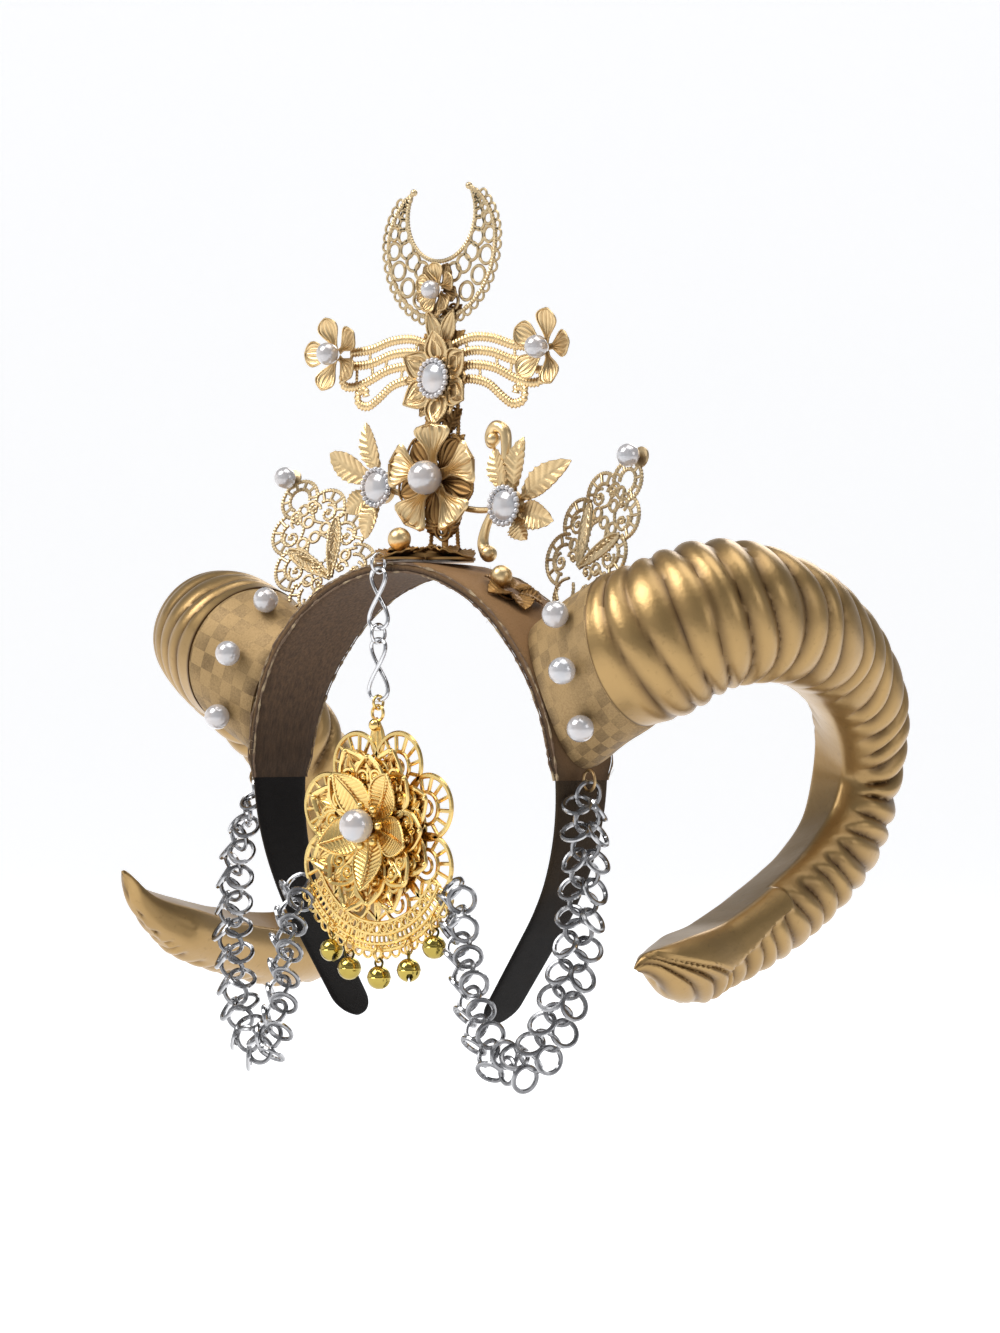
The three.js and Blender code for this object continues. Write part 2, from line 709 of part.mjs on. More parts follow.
function columnStrip() {
  const { halfWidth, top, holes, holeHalf, firstHole, lastHole } = COLUMN;
  const { halfWidth: slit, height } = COLUMN_NOTCH;
  const foot = BASE_HIGH.z + FLOWER_THICK + GAP;
  const shape = new THREE.Shape();
  shape.moveTo(-halfWidth, foot).lineTo(-slit, foot).lineTo(-slit, foot + height);
  shape.lineTo(slit, foot + height).lineTo(slit, foot).lineTo(halfWidth, foot);
  shape.lineTo(halfWidth, top - halfWidth).absarc(0, top - halfWidth, halfWidth, 0, Math.PI);
  spread(foot + firstHole, top - lastHole, holes - 1).forEach((z) => {
    shape.holes.push(polygonHole(0, z, holeHalf, 4));
  });
  return plate(shape);
}

function sprig(name) {
  const { x, z, root, leaves } = SPRIGS[name];
  const center = new THREE.Vector2(x, z);
  const stem = new THREE.LineCurve(new THREE.Vector2(root.x, root.z), center);
  const pieces = [disc(x, z, SETTING_RADIUS, SETTING_HEIGHT), ribbon(stem, STEM_WIDTH, PLATE_THICK, 1)];
  for (const tip of leaves) {
    const start = new THREE.Vector2(tip.x, tip.z).sub(center).setLength(SETTING_RADIUS - 2).add(center);
    pieces.push(leaf({ x: start.x, z: start.y }, tip, tip.width));
  }
  if (name === "right") {
    pieces.push(...scroll());
  }
  return join(pieces);
}

// The scroll behind the right sprig: a round bar that ends in a ball at either end.
function scroll() {
  const points = SCROLL_ROUTE.map(({ x, z }) => new THREE.Vector3(x, z, 0.9));
  const section = new THREE.Shape(polygonHole(0, 0, SCROLL_RADIUS, 5).getPoints());
  const bar = new THREE.ExtrudeGeometry(section, {
    steps: 12,
    bevelEnabled: false,
    extrudePath: new THREE.CatmullRomCurve3(points),
  });
  const balls = [points[0], points.at(-1)].map((p) => ball(SCROLL_BALL).translate(p.x, p.y, p.z));
  return [bar, ...balls];
}

// Base plates and side panels

// A plate outline with round lobes, the first one towards -y.
function lobedShape(radius, lobes, notch, points) {
  const outline = turns(points).map((angle) => {
    const swell = Math.abs(Math.cos((lobes * angle) / 2)) ** LOBE_FULLNESS;
    const r = radius * (notch + (1 - notch) * swell);
    return new THREE.Vector2(r * Math.sin(angle), -r * Math.cos(angle));
  });
  return new THREE.Shape(outline);
}

function basePlate() {
  const leaves = ({ radius, lobes, notch, points }) => lobedShape(radius, lobes, notch, points);
  const low = leaves(BASE_LOW);
  low.holes.push(polygonHole(0, BASE_EYE.y, BASE_EYE.radius, 6));
  const bossHeight = BASE_HIGH.z - BASE_LOW.z + FLOWER_THICK / 2;
  return join([
    plate(low, FLOWER_THICK).translate(0, 0, BASE_LOW.z),
    disc(0, 0, BASE_BOSS_RADIUS, bossHeight).translate(0, 0, BASE_LOW.z + GAP),
    plate(leaves(BASE_HIGH), FLOWER_THICK).translate(0, 0, BASE_HIGH.z),
    ball(BASE_BEAD.radius).translate(0, BASE_BEAD.y, BASE_BEAD.z),
  ]);
}

// A scalloped filigree leaf, foot at the origin and its long axis along y.
function sidePanel(length) {
  const edge = (sign) =>
    PANEL_HALF_WIDTHS.map(({ at, half }) => new THREE.Vector2(sign * half, at * length));
  const shape = new THREE.Shape([...edge(1), ...edge(-1).reverse()]);
  for (const { at, x, radius } of PANEL_HOLES) {
    for (const { sign } of SIDES) {
      shape.holes.push(polygonHole(sign * x, at * length, radius, 6));
    }
  }
  return plate(shape);
}

function panelFrame(sign) {
  const foot = new THREE.Vector3(sign * PANEL_FOOT.x, PANEL_FOOT.y, PANEL_FOOT.z);
  const along = new THREE.Vector3(sign * PANEL_TIP.x, PANEL_TIP.y, PANEL_TIP.z).sub(foot);
  const length = along.length();
  along.normalize();
  const face = new THREE.Vector3(sign * PANEL_FACE.x, PANEL_FACE.y, PANEL_FACE.z);
  face.projectOnPlane(along).normalize();
  const across = new THREE.Vector3().crossVectors(along, face);
  const group = new THREE.Group();
  group.position.copy(foot);
  group.quaternion.setFromRotationMatrix(new THREE.Matrix4().makeBasis(across, along, face));
  return { group, length };
}

// The leaf plate with a bead that holds a side panel on the band.
function panelBase() {
  const { radius, lobes, notch, points } = PANEL_BASE;
  const { x, y, z } = PANEL_BASE_BEAD;
  const bead = ball(PANEL_BASE_BEAD.radius).translate(x, y, z);
  return join([plate(lobedShape(radius, lobes, notch, points), PLATE_THICK), bead]);
}

// Pendant and medallion

// Figure-eight wire link: the two strands cross in the middle, one in front of the other.
function figureEight() {
  const steps = 26;
  const centers = turns(steps).map((turn) => new THREE.Vector3(
    LINK_HALF_WIDTH * Math.sin(2 * turn),
    (LINK_HEIGHT / 2) * Math.cos(turn),
    (LINK_WIRE + GAP) * Math.sin(turn),
  ));
  const rings = centers.map((center, i) => {
    const along = centers[(i + 1) % steps].clone().sub(centers[(i + steps - 1) % steps]).normalize();
    const side = new THREE.Vector3().crossVectors(along, new THREE.Vector3(0, 0, 1)).normalize();
    const up = new THREE.Vector3().crossVectors(side, along);
    return turns(5).map((turn) => center
      .clone()
      .addScaledVector(side, LINK_WIRE * Math.cos(turn))
      .addScaledVector(up, LINK_WIRE * Math.sin(turn)));
  });
  return skin(rings, true);
}

// Radius of the medallion's rim at an angle from straight up: lobes, and a scalloped apron below.
function medallionEdge(angle) {
  const { radius, lobes, notch } = MEDALLION;
  const swell = Math.abs(Math.sin((lobes * angle) / 2)) ** LOBE_FULLNESS;
  const lobe = radius * (notch + (1 - notch) * swell);
  if (Math.abs(angle - Math.PI) > APRON.halfAngle) {
    return lobe;
  }
  const scallop = Math.abs(Math.cos((APRON.scallops * angle) / 2));
  return Math.max(lobe, APRON.radius * (APRON.notch + (1 - APRON.notch) * scallop));
}

// The eye near the rim that a bell hangs in, at a bearing from straight down.
function bellEye(bearing) {
  const angle = Math.PI - bearing * DEGREE;
  const reach = medallionEdge(angle) - BELL_EYE_INSET;
  return { x: reach * Math.sin(angle), z: reach * Math.cos(angle) };
}

function medallionBack() {
  const outline = turns(MEDALLION.lobes * 7).map((angle) => {
    const r = medallionEdge(angle);
    return new THREE.Vector2(r * Math.sin(angle), r * Math.cos(angle));
  });
  const shape = new THREE.Shape(outline.reverse());
  BELL_BEARINGS.map(bellEye).forEach(({ x, z }) => {
    shape.holes.push(polygonHole(x, z, BELL_EYE_RADIUS, 6));
  });
  turns(MEDALLION.lobes).forEach((turn) => {
    const angle = turn + Math.PI / MEDALLION.lobes;
    if (Math.cos(angle) > FAN_SLOTS.lowest) {
      FAN_SLOTS.offsets.forEach((offset) => {
        const [sine, cosine] = [Math.sin(angle + offset), Math.cos(angle + offset)];
        const [x, z] = [FAN_SLOTS.radius * sine, FAN_SLOTS.radius * cosine];
        shape.holes.push(polygonHole(x, z, FAN_SLOTS.half, 4, angle + offset));
      });
    }
  });
  const rise = BAIL.z - MEDALLION.z;
  const bail = wireRing(BAIL.radius, BAIL.wire).translate(0, rise, FLOWER_THICK / 2);
  const neckTop = rise - BAIL.radius + BAIL.wire / 2;
  const neck = new THREE.LineCurve(new THREE.Vector2(0, BAIL_NECK.from), new THREE.Vector2(0, neckTop));
  return join([plate(shape, FLOWER_THICK), ribbon(neck, BAIL_NECK.width, BAIL_NECK.thick, 1), bail]);
}

// A round bell with a slot across its foot and a wire eye on top.
function bell() {
  const eye = wireRing(BELL_TOP_EYE.radius, BELL_TOP_EYE.wire, 8).translate(0, BELL_TOP_EYE.rise, 0);
  const slot = new THREE.BoxGeometry(BELL_SLOT.width, BELL_SLOT.height, 3 * BELL_RADIUS);
  slot.translate(0, -BELL_RADIUS, 0);
  return cut(join([ball(BELL_RADIUS), eye]), slot);
}

// Chain-mail

// Flat cells of the strip, one for each ring: an outline round a hole. Rows of pairs lie at w = +-MAIL_HALF
// and single rings between them on the middle line.
function mailCells(rows) {
  const flat = (list) => list.map(([s, w]) => new THREE.Vector2(s, w));
  const ringHole = (s, w, radius, sides) =>
    turns(sides).map((turn) => {
      const angle = turn + Math.PI / sides;
      return new THREE.Vector2(s + radius * Math.cos(angle), w + radius * Math.sin(angle));
    });
  const across = (s, reach) => [[s, reach], [s, -reach]];
  const [near, bulge] = [MAIL_MIDDLE, MAIL_MIDDLE + MAIL_BULGE];
  const [notch, rim] = [MAIL_HALF + 1, MAIL_HALF + MAIL_RIM.across];
  const half = MAIL_ROW / 2;
  const cells = [];
  for (let row = 0; row < rows; row += 1) {
    const s = (row + 0.5) * MAIL_ROW;
    for (const { sign } of SIDES) {
      const outline = [[s - half, near], [s, bulge], [s + half, near], [s + half, notch]];
      outline.push([s + MAIL_RIM.along, rim], [s - MAIL_RIM.along, rim], [s - half, notch]);
      cells.push({
        outline: flat(outline.map(([a, w]) => [a, sign * w])),
        hole: ringHole(s, sign * MAIL_HALF, MAIL_HOLE, 5),
      });
    }
  }
  for (let row = 0; row <= rows; row += 1) {
    const s = row * MAIL_ROW;
    const first = row > 0 ? across(s - half, bulge) : across(s - MAIL_TIP, MAIL_TIP_HALF);
    const last = row < rows ? across(s + half, -bulge) : across(s + MAIL_TIP, -MAIL_TIP_HALF);
    cells.push({
      outline: flat([...first, [s, -near], ...last, [s, near]]),
      hole: ringHole(s, 0, MAIL_MIDDLE_HOLE, 4),
    });
  }
  return cells;
}

// A closed sheet over flat cells: place maps (s, w, height) to a point in space.
function thickSheet(cells, thick, place) {
  const known = new Map();
  const flat = [];
  const faces = [];
  const vertex = (p) => {
    const key = `${p.x.toFixed(3)} ${p.y.toFixed(3)}`;
    if (!known.has(key)) {
      known.set(key, flat.length);
      flat.push(p);
    }
    return known.get(key);
  };
  for (const { outline, hole } of cells) {
    const ids = [...outline, ...hole].map(vertex);
    for (const face of THREE.ShapeUtils.triangulateShape(outline, [hole])) {
      faces.push(face.map((corner) => ids[corner]));
    }
  }
  const top = flat.length;
  const edges = faces.flatMap(([a, b, c]) => [[a, b], [b, c], [c, a]]);
  const used = new Set(edges.map(([a, b]) => `${a} ${b}`));
  const index = faces.flatMap(([a, b, c]) => [a, b, c, top + a, top + c, top + b]);
  for (const [a, b] of edges) {
    if (!used.has(`${b} ${a}`)) {
      index.push(a, top + b, b, a, top + a, top + b);
    }
  }
  const layer = (height) => flat.map((p) => place(p.x, p.y, height));
  return bareGeometry([...layer(-thick / 2), ...layer(thick / 2)], index);
}

function mailChain({ name, sign }) {
  const points = MAIL_ROUTE.map(({ x, y, z }) => new THREE.Vector3(sign * x, y, z));
  const curve = new THREE.CatmullRomCurve3(points, false, "centripetal");
  const bearings = MAIL_ROUTE.map((row, i) => ({ at: i / (MAIL_ROUTE.length - 1), turn: row[name] }));
  const length = curve.getLength();
  const rows = Math.round(length / MAIL_ROW);
  return thickSheet(mailCells(rows), MAIL_THICK, (s, w, height) => {
    const u = s / (rows * MAIL_ROW);
    const inside = Math.min(Math.max(u, 0), 1);
    const bearing = interpolate(bearings, curve.getUtoTmapping(inside), "turn") * DEGREE;
    const along = curve.getTangentAt(inside);
    const face = new THREE.Vector3(Math.sin(bearing), -Math.cos(bearing), 0);
    const across = new THREE.Vector3().crossVectors(face, along).normalize();
    face.crossVectors(along, across);
    return curve
      .getPointAt(inside)
      .addScaledVector(along, (u - inside) * length)
      .addScaledVector(across, w)
      .addScaledVector(face, height);
  });
}

// Assembly

addPiece(part, "headband_core", headbandCore(), "velvet");
addPiece(part, "band_cover", bandCover(), "brownCloth");
for (const side of SIDES) {
  const { name, sign } = side;
  addPiece(part, `cuff_${name}`, cuff(sign), "cuffCloth");
  addPiece(part, `horn_${name}`, horn(side), "hornGold");
  CUFF_PEARLS[name].forEach((row, i) => {
    const pearl = addPiece(part, `cuff_pearl_${name}_${i + 1}`, ball(CUFF_PEARL_RADIUS), "pearl");
    pearl.position.copy(cuffPearlPlace(row, sign));
  });
  addPiece(part, `mail_chain_${name}`, mailChain(side), "steel");
  const ring = addPiece(part, `chain_ring_${name}`, wireRing(CHAIN_RING.radius, CHAIN_RING.wire), "paleGold");
  ring.position.set(sign * CHAIN_RING.x, CHAIN_RING.y, CHAIN_RING.z);
  ring.rotation.x = Math.PI / 2;
}

addPiece(part, "base_plate", basePlate(), "paleGold");
addFront("column_strip", columnStrip(), "paleGold", 0, COLUMN_FRONT + PLATE_THICK, 0);
addFront("crescent", crescent(), "paleGold", 0, ORNAMENT_BACK, 0);

const smallFlower = { petals: 5, reach: 9, hub: 3.4, cup: 2 };
const smallPearl = 3.3;
addFront("crescent_flower", flower(smallFlower), "paleGold", 0, FLOWER_BACK, CRESCENT_FLOWER_Z);
addFront("crescent_pearl", ball(smallPearl), "pearl", 0, SETTING_BACK - smallPearl, CRESCENT_FLOWER_Z);

const wing = new THREE.Group();
wing.position.set(0, WING_Z, 0);
wing.rotation.z = -WING_TILT;
front.add(wing);
addPiece(wing, "wing_bar", wingBar(), "paleGold").position.z = -ORNAMENT_BACK;
const wingFlower = { petals: 5, reach: 13, hub: 4, cup: 2.5 };
const wingPearl = 4;
for (const { name, sign } of SIDES) {
  const petals = addPiece(wing, `wing_flower_${name}`, flower(wingFlower), "paleGold");
  petals.position.set(sign * WING_FLOWER_X, 0, -FLOWER_BACK);
  const pearl = addPiece(wing, `wing_pearl_${name}`, ball(wingPearl), "pearl");
  pearl.position.set(sign * WING_FLOWER_X, 0, wingPearl - SETTING_BACK);
}

const pointedFlower = { petals: 6, reach: 16, hub: 8, cup: 1.5, sharp: 1 };
addFront("center_flower", flower(pointedFlower), "paleGold", 0, FLOWER_BACK, CENTER_FLOWER_Z);
addFront("center_cabochon", cabochon(), "pearl", 0, SETTING_BACK - GAP, CENTER_FLOWER_Z);

const flutedFlower = { petals: 5, reach: 18.6, hub: 6, cup: 3, sharp: 0.5 };
const bigPearl = 6;
addFront("big_flower", flower(flutedFlower), "paleGold", 0, FLOWER_BACK, BIG_FLOWER_Z);
addFront("big_pearl", ball(bigPearl), "pearl", 0, SETTING_BACK - bigPearl, BIG_FLOWER_Z);

for (const { name, sign } of SIDES) {
  addFront(`sprig_${name}`, sprig(name), "paleGold", 0, ORNAMENT_BACK, 0);
  const { x, z } = SPRIGS[name];
  addFront(`sprig_cabochon_${name}`, cabochon(), "pearl", x, SETTING_BACK, z);

  const { group, length } = panelFrame(sign);
  part.add(group);
  addPiece(group, `side_panel_${name}`, sidePanel(length), "paleGold");
  const sidePearl = 4;
  const pearl = addPiece(group, `side_pearl_${name}`, ball(sidePearl), "pearl");
  pearl.position.set(0, length * PANEL_PEARL_AT, PLATE_THICK + GAP + sidePearl);

  const base = addPiece(part, `panel_base_${name}`, panelBase(), "paleGold");
  const seat = OUTER_RADIUS + GAP;
  const [sine, cosine] = [Math.sin(PANEL_BASE_ANGLE), Math.cos(PANEL_BASE_ANGLE)];
  base.position.set(sign * seat * sine, 0, ARCH_CENTER_Z + seat * cosine);
  base.rotation.y = sign * PANEL_BASE_ANGLE;
}

for (const { name, z, radius, wire, finish } of PENDANT_RINGS) {
  const ring = addPiece(part, `pendant_ring_${name}`, wireRing(radius, wire), finish);
  ring.position.set(0, PENDANT_Y, z);
  ring.rotation.y = Math.PI / 2;
}
for (const [name, z] of Object.entries(LINK_CENTERS)) {
  addFront(`pendant_link_${name}`, figureEight(), "steel", 0, PENDANT_Y, z);
}

addFront("medallion_back", medallionBack(), "brightGold", 0, MEDALLION.y, MEDALLION.z);
for (const layer of MEDALLION_LAYERS) {
  addFront(layer.name, flower(layer), "brightGold", 0, layer.y, layer.z);
}
const topLayer = MEDALLION_LAYERS.at(-1);
const pearlY = topLayer.y - FLOWER_THICK - 2 * GAP - MEDALLION_PEARL_RADIUS;
addFront("medallion_pearl", ball(MEDALLION_PEARL_RADIUS), "pearl", 0, pearlY, topLayer.z);
BELL_BEARINGS.map(bellEye).forEach(({ x, z }, i) => {
  const y = MEDALLION.y - FLOWER_THICK / 2;
  const ringZ = MEDALLION.z + z - BELL_RING.radius;
  const ring = addPiece(part, `bell_ring_${i + 1}`, wireRing(BELL_RING.radius, BELL_RING.wire), "brass");
  ring.position.set(x, y, ringZ);
  ring.rotation.y = Math.PI / 2;
  const eyeTop = ringZ - BELL_RING.radius + BELL_RING.wire + GAP + BELL_TOP_EYE.wire;
  addFront(`bell_${i + 1}`, bell(), "brass", x, y, eyeTop - BELL_TOP_EYE.rise - BELL_TOP_EYE.radius);
});

export default part;
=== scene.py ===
"""Ram horn headband: finished surfaces built round its construction frame.

Shapes are worked out in millimetres as numpy arrays and put into meshes in metres. The wearer looks along -Y,
+Z is up and the origin is the inner top of the band.
"""

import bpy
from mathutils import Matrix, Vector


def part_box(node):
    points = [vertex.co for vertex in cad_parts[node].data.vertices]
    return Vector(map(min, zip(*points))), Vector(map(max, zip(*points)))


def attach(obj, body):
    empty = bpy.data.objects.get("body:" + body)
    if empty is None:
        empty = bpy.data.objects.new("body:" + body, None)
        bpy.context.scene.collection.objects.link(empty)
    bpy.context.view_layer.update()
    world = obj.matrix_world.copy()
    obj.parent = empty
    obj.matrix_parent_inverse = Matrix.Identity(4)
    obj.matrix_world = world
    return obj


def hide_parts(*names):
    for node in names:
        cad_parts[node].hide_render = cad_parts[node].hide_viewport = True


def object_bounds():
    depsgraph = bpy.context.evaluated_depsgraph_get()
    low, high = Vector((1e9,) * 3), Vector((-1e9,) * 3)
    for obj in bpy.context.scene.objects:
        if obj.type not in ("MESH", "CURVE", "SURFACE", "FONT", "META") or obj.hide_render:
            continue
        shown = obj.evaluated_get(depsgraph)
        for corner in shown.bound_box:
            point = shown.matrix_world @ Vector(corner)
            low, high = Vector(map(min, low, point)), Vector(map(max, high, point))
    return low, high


bl_info = {
    "name": "Ram Horn Headband",
    "version": (1, 0, 0),
    "blender": (4, 5, 0),
    "location": "View3D > Sidebar > Headband",
    "description": "Builds the finished surfaces of a ram horn headband round its construction frame",
    "category": "Object",
}

from typing import NamedTuple

import bpy
import numpy as np
from bpy.props import FloatProperty, FloatVectorProperty, IntProperty, PointerProperty
from mathutils import Vector

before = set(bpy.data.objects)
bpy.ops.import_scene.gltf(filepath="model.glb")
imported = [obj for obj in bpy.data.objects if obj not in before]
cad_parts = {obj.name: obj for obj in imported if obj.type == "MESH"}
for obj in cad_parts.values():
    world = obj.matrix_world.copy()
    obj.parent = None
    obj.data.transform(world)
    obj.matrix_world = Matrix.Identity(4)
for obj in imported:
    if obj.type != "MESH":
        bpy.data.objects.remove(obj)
CAD_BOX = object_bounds()

MM = 0.001
TURN = 2 * np.pi
UP = np.array((0, 0, 1.0))
BACK = np.array((0, 1, 0))
SIDES = (("left", -1), ("right", 1))
SHARP_ANGLE = np.radians(48)
GAP = 0.3
# Tone of every slab's underside: painted shade on the side turned away.
UNDERSIDE_SHADE = 0.75

# Rows and columns of a ball, by how large it shows.
BEAD_GRID = (8, 12)
GOLD_BALL_GRID = (24, 32)
STONE_GRID = (22, 32)
PEARL_GRID = (26, 36)

# Domed stones: half sizes, and the radius of their ring of beads.
STONE_HALF_SIZE = (5.7, 5.7, 3.0)
STONE_RIM = 6.3

# Headband strip: a half circle over the head, a wider arc inwards below it and a straight end.
ARCH_RADIUS = 72.0
SIDE_RADIUS = 85.0
SIDE_SWEEP = np.radians(36)
STRAIGHT_END = 40.0
COVER_LIFT = 2.1
COVER_EXTRA = 1.3
COVER_TOP = ARCH_RADIUS + COVER_LIFT
QUARTER = ARCH_RADIUS * np.pi / 2
HALF_LENGTH = QUARTER + SIDE_RADIUS * SIDE_SWEEP + STRAIGHT_END
ARCH_Z = COVER_LIFT - ARCH_RADIUS
STRIP_WIDTHS = {"at": (0, 62, 103, 150, 206), "width": (33.4, 32.4, 26.4, 20, 16.5)}
THIN_END = 7
ROUND_END = 9
FIBER_LENGTHS = (0.7, 2.0)
BAND_SEED = 7

# Cuff and horn, right side: oval on the band, round seam, centre line with its radius.
CUFF_ANGLE = np.radians(66.5)
CUFF_HALF_HEIGHT = 27.0
CUFF_HALF_DEPTH = 16.5
CUFF_THICK = 1.5
CUFF_MEAN_RADIUS = 21.0
CUFF_JOIN = np.radians(100)
SEAM_CENTER = np.array((90.0, 3.0, -27.0))
SEAM_AXIS = np.array((0.936, 0.217, 0.272)) / np.linalg.norm((0.936, 0.217, 0.272))
SEAM_RADIUS = 26.0
COLLAR = 9.0
HORN_ROUTE = np.array((
    (114, 18, -15.4, 24.5),
    (119, 47, -17, 20.9),
    (109, 89.5, -29, 17.6),
    (99, 115, -48, 16.5),
    (91, 124, -68, 15.4),
    (91, 116, -88, 14.9),
    (93, 97, -103, 14.3),
    (95, 68, -117, 13.7),
    (97, 36, -128, 12.2),
    (99, 9, -133, 8.6),
    (100, -4, -132, 5),
))
HORN_POINTS = 350
HORN_SIDES = 104
FLAT_FACE_SHARE = 0.83
TIP_PLATE_RISE = 1.4
RIB_SPACING = {"at": (0, 0.1, 0.16, 0.26, 0.34, 0.45, 1), "share": (0.76, 0.8, 1.2, 1.42, 1.36, 1.06, 0.96)}
RIB_LEAN = {"at": (0, 0.1, 0.22, 0.36, 0.5, 1), "share": (0.2, 0.6, 1.15, 1.2, 1.0, 1.0)}

# How the two horns differ: twist about the seam and yaw, then lift, swelling, slant and thinning of the tip.
HORN_TURNS = {"left": (np.radians(-27), np.radians(-10)), "right": (0.0, 0.0)}
HORN_TIP_LIFT = {"left": 13.0, "right": 0.0}
LIFTED_POINTS = 4
HORN_TIP_SWELL = {"left": 0.0, "right": 2.4}
HORN_TIP_SLANT = {"left": 1.5, "right": 1.25}
HORN_TIP_THIN = {"left": (0.16, 0.3), "right": (0.0, 0.0)}

# Layers of the crown ornament: y of the back of each.
COLUMN_Y = 9.0
ORNAMENT_Y = 8.7
FLOWER_Y = 7.2
SMALL_FLOWER_Y = FLOWER_Y - 0.6
BIG_FLOWER_YAW = np.radians(6.5)
WING_Z = 77.5
WING_TILT = np.radians(2.5)
WING_FLOWER_TURN = np.radians(14)

# Side panel, right side: foot, tip and the way its face looks; the place of its leaf base on the band.
PANEL_FOOT = np.array((50.8, 11.8, -12.0))
PANEL_TIP = np.array((84.0, 17.5, 38.0))
PANEL_FACE = np.array((-0.177, -0.957, 0.232))
PANEL_BASE_ANGLE = np.radians(33)

# Medallion.
MEDALLION_Y = -22.4
MEDALLION_Z = -89.0
MEDALLION_LOBES = 8

# Mail strips, right side: centre line, then the bearing of the flat face on the right and on the left strip.
MAIL_ROUTE = np.array((
    (78.4, -4, -74.3, 76, -62),
    (83, -10, -92, 50, -12),
    (83.5, -13, -114, 38, 6),
    (79, -16, -140, 35, 12),
    (70, -19, -159, 33, 12),
    (59, -21.5, -165, 22, 6),
    (50, -24, -156, 8, -4),
    (44, -26, -136, -5, -12),
    (40, -26.4, -118, -6, -10),
    (37, -24.7, -106, 0, 0),
))
MAIL_PITCH = 9.6
MAIL_SEED = 11

# Mail rings in degrees: lean of single and of paired rings along the strip, and splay of the pairs.
SINGLE_LEAN = -34
PAIR_LEAN = 38
PAIR_SPLAY = 30


class Shell(NamedTuple):
    """A surface: points in mm, faces of four corners (triangles repeat one), tone of painted shade from 0 on
    proud, lit parts to 1 in hollows and underneath.
    """

    points: np.ndarray
    faces: np.ndarray
    tone: np.ndarray


class Place(NamedTuple):
    """Where a piece drawn in its own x, y and height goes: an origin and the images of its axes as rows."""

    origin: np.ndarray
    axes: np.ndarray


class Form(NamedTuple):
    """Form of a petal: where it is widest, fullness, width of its root, rise of its tip and cup across."""

    peak: float = 0.65
    fullness: float = 0.7
    root: float = 0.15
    rise: float = 2.0
    cup: float = 0.0


# Array helpers


def unit(vectors):
    """Vectors scaled to length one."""
    return vectors / np.linalg.norm(vectors, axis=-1, keepdims=True)


def smoothstep(low, high, x):
    """Rises from 0 at low to 1 at high with flat ends."""
    share = np.clip((x - low) / (high - low), 0, 1)
    return share * share * (3 - 2 * share)


def angles(count):
    """Equal steps of a full turn."""
    return np.arange(count) * TURN / count


def rays(angle):
    """Unit vectors of the drawing plane at angles from +x."""
    return np.stack([np.cos(angle), np.sin(angle)], -1)


def turned(points, axis, angle):
    """Points turned about an axis through the origin by Rodrigues' formula."""
    cosine, sine = np.cos(angle), np.sin(angle)
    return points * cosine + np.cross(axis, points) * sine + np.outer(points @ axis, axis) * (1 - cosine)


def run_of(path):
    """Length along a path at each of its points."""
    return np.concatenate([[0], np.cumsum(np.linalg.norm(np.diff(path[:, :3], axis=0), axis=1))])


def at_lengths(lengths, run, columns):
    """Columns that are known along a run, read at other lengths."""
    return np.stack([np.interp(lengths, run, column) for column in columns.T], -1)


def spline(points, step=None, count=None, closed=False):
    """Centripetal Catmull-Rom curve through points, sampled at even lengths; further columns ride along."""
    p = np.asarray(points, float)
    if closed:
        q = np.concatenate([p[-1:], p, p[:2]])
    else:
        q = np.concatenate([2 * p[:1] - p[1:2], p, 2 * p[-1:] - p[-2:-1]])
    knots = np.linalg.norm(np.diff(q[:, :3], axis=0), axis=1) ** 0.5
    a, b, c, d = q[:-3], q[1:-2], q[2:-1], q[3:]
    d0, d1, d2 = (knots[i : len(knots) - 2 + i, None] for i in range(3))
    m1 = ((b - a) / d0 - (c - a) / (d0 + d1) + (c - b) / d1) * d1
    m2 = ((c - b) / d1 - (d - b) / (d1 + d2) + (d - c) / d2) * d1
    t = np.linspace(0, 1, 24, endpoint=False)[None, :, None]
    b, c, m1, m2 = b[:, None], c[:, None], m1[:, None], m2[:, None]
    curve = b + m1 * t + (3 * (c - b) - 2 * m1 - m2) * t**2 + (2 * (b - c) + m1 + m2) * t**3
    curve = np.concatenate([curve.reshape(-1, p.shape[1]), p[:1] if closed else p[-1:]])
    run = run_of(curve)
    count = count or max(int(run[-1] / step), 4)
    return at_lengths(np.linspace(0, run[-1], count, endpoint=not closed), run, curve)


def flat(path, height=0.0):
    """A path of the drawing plane at one height."""
    path = np.asarray(path, float)
    return np.column_stack([path, np.broadcast_to(height, len(path))])


def mirrored_x(path):
    """A path of the drawing plane on the other side of the upright axis."""
    return np.asarray(path) * np.array((-1, 1))


def arc(center, radius, start, end, step=0.4):
    """Points on a circle of the drawing plane from one angle to another, in degrees from +x."""
    sweep = np.radians(end - start)
    count = max(int(abs(sweep) * radius / step), 5)
    return np.asarray(center) + radius * rays(np.radians(start) + np.linspace(0, sweep, count))


def ring_path(center, radius, count=28):
    """A full circle of the drawing plane."""
    return np.asarray(center) + radius * rays(angles(count))


def curl(center, radius, start, turns, step=0.3):
    """A spiral in the drawing plane: from its rim, at an angle in degrees, in to a third of its radius."""
    count = max(int(abs(turns) * TURN * radius * 0.7 / step), 8)
    share = np.linspace(0, 1, count)
    reach = radius * (1 - 0.68 * share)
    return np.asarray(center) + reach[:, None] * rays(np.radians(start) + turns * TURN * share)


def spokes(center, reaches, degrees):
    """Bars outwards at angles in degrees: their points at each reach from a centre, or each from its own."""
    direction = rays(np.radians(degrees))
    centers = np.broadcast_to(center, (len(reaches), 2))
    return list(np.stack([middle + reach * direction for middle, reach in zip(centers, reaches)], 1))


# Shells


